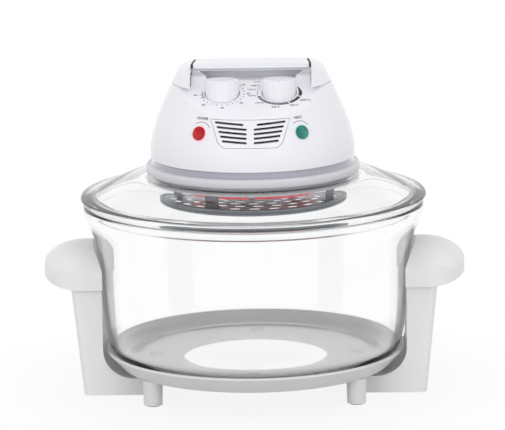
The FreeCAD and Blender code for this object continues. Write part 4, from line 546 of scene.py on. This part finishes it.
def coil_tree():
    """Helix round a ring: Start + share * Sweep round the oven, share * Turns round the wire's axis."""
    tree, sizes, out = new_tree("wound_wire", **COIL)
    line = tree.nodes.new("GeometryNodeCurvePrimitiveLine")
    cut = tree.nodes.new("GeometryNodeResampleCurve")
    share = tree.nodes.new("GeometryNodeSplineParameter").outputs["Factor"]
    tree.links.new(line.outputs["Curve"], cut.inputs["Curve"])
    tree.links.new(sizes.outputs["Points"], cut.inputs["Count"])
    swept = tree_math(tree, "MULTIPLY", share, sizes.outputs["Sweep"])
    way = tree_math(tree, "ADD", sizes.outputs["Start"], swept)
    turns = tree_math(tree, "MULTIPLY", share, sizes.outputs["Turns"])
    wind = tree_math(tree, "MULTIPLY", turns, 2 * math.pi)
    reach = tree_math(tree, "MULTIPLY", tree_math(tree, "COSINE", wind), sizes.outputs["Wind"])
    reach = tree_math(tree, "ADD", reach, sizes.outputs["Ring"])
    rise = tree_math(tree, "MULTIPLY", tree_math(tree, "SINE", wind), sizes.outputs["Wind"])
    place = tree.nodes.new("ShaderNodeCombineXYZ")
    tree.links.new(tree_math(tree, "MULTIPLY", reach, tree_math(tree, "COSINE", way)), place.inputs["X"])
    tree.links.new(tree_math(tree, "MULTIPLY", reach, tree_math(tree, "SINE", way)), place.inputs["Y"])
    tree.links.new(tree_math(tree, "ADD", rise, sizes.outputs["Height"]), place.inputs["Z"])
    move = tree.nodes.new("GeometryNodeSetPosition")
    tree.links.new(cut.outputs["Curve"], move.inputs["Geometry"])
    tree.links.new(place.outputs["Vector"], move.inputs["Position"])
    ring = tree.nodes.new("GeometryNodeCurvePrimitiveCircle")
    ring.inputs["Resolution"].default_value = WIRE_SIDES
    tree.links.new(sizes.outputs["Wire"], ring.inputs["Radius"])
    tube = tree.nodes.new("GeometryNodeCurveToMesh")
    tube.inputs["Fill Caps"].default_value = True
    tree.links.new(move.outputs["Geometry"], tube.inputs["Curve"])
    tree.links.new(ring.outputs["Curve"], tube.inputs["Profile Curve"])
    finish_tree(tree, tube.outputs["Mesh"], out, tungsten)
    return tree


coil = link_mesh("heater_coil", grown("heater_coil", coil_tree(), COIL), tungsten)
coil.data.shade_smooth()
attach(coil, "lid")
print("coil faces:", len(coil.data.polygons))

# %% [markdown]
# ## Printed scales
# The timer and the thermostat have scales printed on the sloping deck: dots and numbers for minutes,
# and a band of blocks that grows into a solid line for heat. Each mark is drawn flat round (0, 0),
# with +X to the right and +Y up the slope, and is then dropped on the cover along the slope's
# normal, so it lies on the plastic wherever that curves.

# %% Printing on the deck
DECK_ANGLE = math.radians(23)
DECK_AXES = Matrix(((1, 0, 0), (0, math.cos(DECK_ANGLE), -math.sin(DECK_ANGLE)),
                    (0, math.sin(DECK_ANGLE), math.cos(DECK_ANGLE))))
TIMER_CENTRE = Vector((-0.027, -0.044, 0.2953))
HEAT_CENTRE = Vector((0.027, -0.044, 0.2953))
INK_LIFT = 0.00005
DROP_FROM, DROP_REACH = 0.006, 0.02
LENS_X, LENS_REACH, LENS_Z = 0.0482, 0.0935, 0.2628
LENS_TILT = math.radians(18)
ink = moulded("printing_ink", (0.022, 0.022, 0.03), 0.5, 0.00001)
grey_ink = moulded("printing_ink_grey", (0.30, 0.30, 0.36), 0.5, 0.00001)


def cover_tree():
    """Search tree of the head cover's faces."""
    shape = bmesh.new()
    shape.from_mesh(nodes["head_cover"].data)
    found = BVHTree.FromBMesh(shape)
    shape.free()
    return found


cover_faces = cover_tree()


def print_on(mesh, centre, axes):
    """Drop a flat mesh on the head cover along its own normal."""
    down = axes @ Vector((0, 0, -1))
    for vertex in mesh.vertices:
        over = centre + axes @ vertex.co - down * DROP_FROM
        hit = cover_faces.ray_cast(over, down, DROP_REACH)[0]
        vertex.co = (hit or over + down * DROP_FROM) - down * INK_LIFT
    mesh.update()


def add_print(name, mesh, centre, axes=DECK_AXES, material=ink):
    """Finished print, which moves with the lid."""
    print_on(mesh, centre, axes)
    piece = link_mesh(name, mesh, material)
    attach(piece, "lid")
    return piece


def lens_place(side):
    """Centre of a pilot lens, and the axes of the wall round it."""
    centre = Vector((side * LENS_X, -math.sqrt(LENS_REACH ** 2 - LENS_X ** 2), LENS_Z))
    out = Vector((centre.x, centre.y, LENS_REACH * math.tan(LENS_TILT))).normalized()
    right = Vector((-out.y, out.x, 0)).normalized()
    return centre, Matrix((right, out.cross(right), out)).transposed()


print("cover ready for printing")

# %% [markdown]
# Dots and blocks repeat at one angle, so a small tree places them: points by index, a disc or a
# block on each, turned to face the centre. Both scales use the same tree with other sizes.

# %% Dots and blocks
MINUTE_DOTS = {"Count": 19, "Radius": 0.021, "Start": math.radians(77.6), "Step": math.radians(-13.87),
               "Long": 0.00065, "Wide": 0.00065}
DOT_CORNERS, BLOCK_CORNERS = 10, 4
BLOCK_SIZE = {"Radius": 0.0203, "Long": 0.0016, "Wide": 0.0010}
HEAT_BLOCKS = [(5, -66.5, -6.5), (5, -100.0, -7.2), (4, -136.0, -7.8)]


def marks_tree(corners):
    """Flat marks on an arc; each is a disc with this many corners, stretched to its two sizes."""
    tree, sizes, out = new_tree("scale_marks", **MINUTE_DOTS)
    points = tree.nodes.new("GeometryNodePoints")
    index = tree.nodes.new("GeometryNodeInputIndex").outputs[0]
    stepped = tree_math(tree, "MULTIPLY", index, sizes.outputs["Step"])
    turn = tree_math(tree, "ADD", sizes.outputs["Start"], stepped)
    place = tree.nodes.new("ShaderNodeCombineXYZ")
    for axis, wave in (("X", "COSINE"), ("Y", "SINE")):
        reach = tree_math(tree, "MULTIPLY", tree_math(tree, wave, turn), sizes.outputs["Radius"])
        tree.links.new(reach, place.inputs[axis])
    tree.links.new(sizes.outputs["Count"], points.inputs["Count"])
    tree.links.new(place.outputs["Vector"], points.inputs["Position"])
    disc = tree.nodes.new("GeometryNodeMeshCircle")
    disc.fill_type = "NGON"
    disc.inputs["Vertices"].default_value = corners
    disc.inputs["Radius"].default_value = 1.0 if corners > BLOCK_CORNERS else math.sqrt(2)
    square = tree.nodes.new("GeometryNodeTransform")
    square.inputs["Rotation"].default_value = (0, 0, 0 if corners > BLOCK_CORNERS else math.pi / 4)
    put = tree.nodes.new("GeometryNodeInstanceOnPoints")
    facing = tree.nodes.new("ShaderNodeCombineXYZ")
    size = tree.nodes.new("ShaderNodeCombineXYZ")
    size.inputs["Z"].default_value = 1
    tree.links.new(disc.outputs["Mesh"], square.inputs["Geometry"])
    tree.links.new(turn, facing.inputs["Z"])
    tree.links.new(sizes.outputs["Long"], size.inputs["X"])
    tree.links.new(sizes.outputs["Wide"], size.inputs["Y"])
    for source, target in ((points.outputs[0], "Points"), (square.outputs[0], "Instance"),
                           (facing.outputs[0], "Rotation"), (size.outputs[0], "Scale")):
        tree.links.new(source, put.inputs[target])
    finish_tree(tree, put.outputs["Instances"], out, ink)
    return tree


add_print("minute_dots", grown("minute_dots", marks_tree(DOT_CORNERS), MINUTE_DOTS), TIMER_CENTRE)
block_tree = marks_tree(BLOCK_CORNERS)
for number, (count, start, step) in enumerate(HEAT_BLOCKS):
    blocks = {"Count": count, "Start": math.radians(start), "Step": math.radians(step), **BLOCK_SIZE}
    label = "heat_blocks_" + str(number)
    add_print(label, grown(label, block_tree, blocks), HEAT_CENTRE)
print("minutes and heat blocks printed")

# %% [markdown]
# The solid stretches are strips along an arc whose width changes from one end to the other, and the
# numbers are text, which is made a mesh while it is still flat. Each arc is given as its radius, its
# two angles and its two widths, and each number as its height, its radius and its angle. The same
# kinds of print mark the two pilot lenses on the front wall.

# %% Arcs and numbers
BOLD = 0.09
FONT_SCALE = 1.4
ARC_STEPS = 24


def arc_strip(name, radius, start, end, wide_start, wide_end):
    """Flat strip along an arc, from angles in degrees and widths in millimetres."""
    strip = []
    for step in range(ARC_STEPS + 1):
        share = step / ARC_STEPS
        angle = math.radians(start + (end - start) * share)
        half = (wide_start + (wide_end - wide_start) * share) / 2
        for reach in (radius - half, radius + half):
            strip.append((reach * MM * math.cos(angle), reach * MM * math.sin(angle), 0))
    faces = [(2 * i, 2 * i + 1, 2 * i + 3, 2 * i + 2) for i in range(ARC_STEPS)]
    mesh = bpy.data.meshes.new(name)
    mesh.from_pydata(strip, [], [tuple(reversed(face)) for face in faces] if start > end else faces)
    return mesh


def word_mesh(name, word, height, radius, angle):
    """Upright number or word at a polar place on its dial, in millimetres and degrees."""
    curve = bpy.data.curves.new(name, "FONT")
    curve.body = word
    curve.size = height * MM * FONT_SCALE
    curve.offset = BOLD * MM
    curve.align_x = "CENTER"
    curve.align_y = "CENTER"
    holder = bpy.data.objects.new(name, curve)
    bpy.context.scene.collection.objects.link(holder)
    mesh = bpy.data.meshes.new_from_object(holder.evaluated_get(bpy.context.evaluated_depsgraph_get()))
    bpy.data.objects.remove(holder)
    turn = math.radians(angle)
    mesh.transform(Matrix.Translation((radius * MM * math.cos(turn), radius * MM * math.sin(turn), 0)))
    return mesh


HEAT_ARCS = {"heat_arc_tip": (19.9, 30, 4, 0.7, 3.2), "heat_arc_high": (20.2, 4, -17, 3.2, 3.4),
             "heat_arc_mid": (20.2, -22, -60, 3.4, 3.3)}
HEAT_ARC_LOW = (20.8, -168, -215, 0.9, 0.5)
MINUTE_ARC = (18.9, 172, 207, 0.6, 1.0)
LENS_ARC = (11.6, 38, 125, 0.5, 0.5)
HEAT_NUMBERS = [("65", 2.3, 29.0, 137.8), ("100", 2.3, 26.0, 151), ("125", 2.3, 26.9, 168),
                ("150", 2.3, 26.3, -168.5), ("175", 2.3, 26.0, -135.8), ("200", 2.3, 25.6, -96.7),
                ("225", 2.3, 26.6, -57.8), ("250", 2.9, 28.6, -29.0)]
MINUTE_NUMBERS = [("0", 24.0, 77.6), ("10", 24.4, 36), ("20", 25.0, -3), ("30", 25.5, -44), ("40", 25.9, -89),
                  ("50", 26.6, -130.4), ("60", 25.2, -173)]
MINUTE_HEIGHT = 2.5
LENS_WORD = (2.5, 15.0, 90)
for label, sizes in HEAT_ARCS.items():
    add_print(label, arc_strip(label, *sizes), HEAT_CENTRE)
add_print("minute_arc", arc_strip("minute_arc", *MINUTE_ARC), TIMER_CENTRE)
add_print("heat_arc_low", arc_strip("heat_arc_low", *HEAT_ARC_LOW), HEAT_CENTRE, material=grey_ink)
for word, height, radius, angle in HEAT_NUMBERS:
    label = "heat_" + word
    add_print(label, word_mesh(label, word + "\u00b0C", height, radius, angle), HEAT_CENTRE)
for word, radius, angle in MINUTE_NUMBERS:
    label = "minutes_" + word
    add_print(label, word_mesh(label, word, MINUTE_HEIGHT, radius, angle), TIMER_CENTRE)
for word, side in (("power", -1), ("heat", 1)):
    arc_label, word_label = word + "_lamp_arc", word + "_lamp_word"
    add_print(arc_label, arc_strip(arc_label, *LENS_ARC), *lens_place(side))
    add_print(word_label, word_mesh(word_label, word.upper(), *LENS_WORD), *lens_place(side))
print("scales printed")

# %% [markdown]
# ## Floor, backdrop and light
# The studio is white: the floor takes a soft shadow near the oven and fades to plain white farther
# off. The world is white wherever it is seen, straight or in glass and gloss, and lights the oven
# less than it shows, so that white plastic keeps its shading.

# %% Floor
FLOOR_HALF = 6.0
PAPER = (0.62, 0.62, 0.62, 1)
NEAR_WHITE, SHADOW_REACH, CLEAR_REACH = 0.88, 0.1, 0.34


def seen_directly(material):
    """1 for rays that show the surface: from the camera, by reflection or through glass."""
    path = add_node(material, "ShaderNodeLightPath")
    first = add_node(material, "ShaderNodeMath", operation="MAXIMUM")
    both = add_node(material, "ShaderNodeMath", operation="MAXIMUM")
    join(material, path.outputs["Is Camera Ray"], first.inputs[0])
    join(material, path.outputs["Is Glossy Ray"], first.inputs[1])
    join(material, first.outputs[0], both.inputs[0])
    join(material, path.outputs["Is Transmission Ray"], both.inputs[1])
    return both.outputs[0]


def studio_white():
    """Paper whose own light grows with the distance from the oven."""
    material, shader = new_material("studio_white", Roughness=0.9)
    shader.inputs["Base Color"].default_value = PAPER
    place = add_node(material, "ShaderNodeTexCoord")
    distance = add_node(material, "ShaderNodeVectorMath", operation="LENGTH")
    join(material, place.outputs["Object"], distance.inputs[0])
    fade = add_node(material, "ShaderNodeMapRange", interpolation_type="SMOOTHSTEP")
    for socket, value in (("From Min", SHADOW_REACH), ("From Max", CLEAR_REACH),
                          ("To Min", NEAR_WHITE), ("To Max", 1.0)):
        fade.inputs[socket].default_value = value
    join(material, distance.outputs["Value"], fade.inputs["Value"])
    share = add_node(material, "ShaderNodeMath", operation="MULTIPLY")
    join(material, fade.outputs["Result"], share.inputs[0])
    join(material, seen_directly(material), share.inputs[1])
    glow = add_node(material, "ShaderNodeEmission")
    mix = add_node(material, "ShaderNodeMixShader")
    join(material, share.outputs[0], mix.inputs[0])
    join(material, shader.outputs["BSDF"], mix.inputs[1])
    join(material, glow.outputs["Emission"], mix.inputs[2])
    join(material, mix.outputs["Shader"], material.node_tree.nodes["Material Output"].inputs["Surface"])
    return material


def make_floor():
    """Wide square of paper under the oven."""
    mesh = bpy.data.meshes.new("floor")
    corners = [(x * FLOOR_HALF, y * FLOOR_HALF, 0) for x, y in ((-1, -1), (1, -1), (1, 1), (-1, 1))]
    mesh.from_pydata(corners, [], [(0, 1, 2, 3)])
    floor = link_mesh("floor", mesh, studio_white())
    return floor


make_floor()
print("floor laid")

# %% Lamps and world
WORLD_LIGHT = 0.82
LOW_SKY, HIGH_SKY, ZENITH = 0.25, 0.65, 0.55
LAMP_TARGET = Vector((0, 0, 0.2))
# Each lamp has its place and its two sides in metres, and its power in watts
LAMPS = {"key": ((-1.3, -2.6, 1.0), (1.6, 1.2), 17), "fill": ((1.5, -2.4, 0.9), (1.4, 1.2), 13),
         "top": ((0, 0.4, 2.4), (2.0, 1.4), 5)}


def area_lamp(name, place, size, power):
    """Soft rectangular lamp that faces the oven; it lights, but isn't mirrored in the glass."""
    data = bpy.data.lights.new(name, "AREA")
    data.shape = "RECTANGLE"
    data.size, data.size_y = size
    data.energy = power
    lamp = bpy.data.objects.new(name, data)
    lamp.location = place
    lamp.rotation_mode = "QUATERNION"
    lamp.rotation_quaternion = (LAMP_TARGET - Vector(place)).to_track_quat("-Z", "Y")
    lamp.visible_glossy = False
    lamp.visible_transmission = False
    bpy.context.scene.collection.objects.link(lamp)
    return lamp


def make_world():
    """White to the camera, WORLD_LIGHT where it only lights, and darker overhead in gloss and glass."""
    world = bpy.data.worlds.new("studio")
    world.use_nodes = True
    bpy.context.scene.world = world
    place = add_node(world, "ShaderNodeTexCoord")
    split = add_node(world, "ShaderNodeSeparateXYZ")
    join(world, place.outputs["Generated"], split.inputs[0])
    sky = add_node(world, "ShaderNodeMapRange", interpolation_type="SMOOTHSTEP")
    for socket, value in (("From Min", LOW_SKY), ("From Max", HIGH_SKY), ("To Min", 1.0), ("To Max", ZENITH)):
        sky.inputs[socket].default_value = value
    join(world, split.outputs["Z"], sky.inputs["Value"])
    path = add_node(world, "ShaderNodeLightPath")
    level = add_node(world, "ShaderNodeMix")
    level.inputs["A"].default_value = WORLD_LIGHT
    join(world, seen_directly(world), level.inputs["Factor"])
    join(world, sky.outputs["Result"], level.inputs["B"])
    plain = add_node(world, "ShaderNodeMix")
    plain.inputs["B"].default_value = 1.0
    join(world, path.outputs["Is Camera Ray"], plain.inputs["Factor"])
    join(world, level.outputs["Result"], plain.inputs["A"])
    back = world.node_tree.nodes["Background"]
    join(world, plain.outputs["Result"], back.inputs["Strength"])
    back.inputs["Color"].default_value = (1, 1, 1, 1)


make_world()
for name, (place, size, power) in LAMPS.items():
    area_lamp(name, place, size, power)
bpy.context.scene.view_settings.view_transform = "Standard"
print("studio ready")
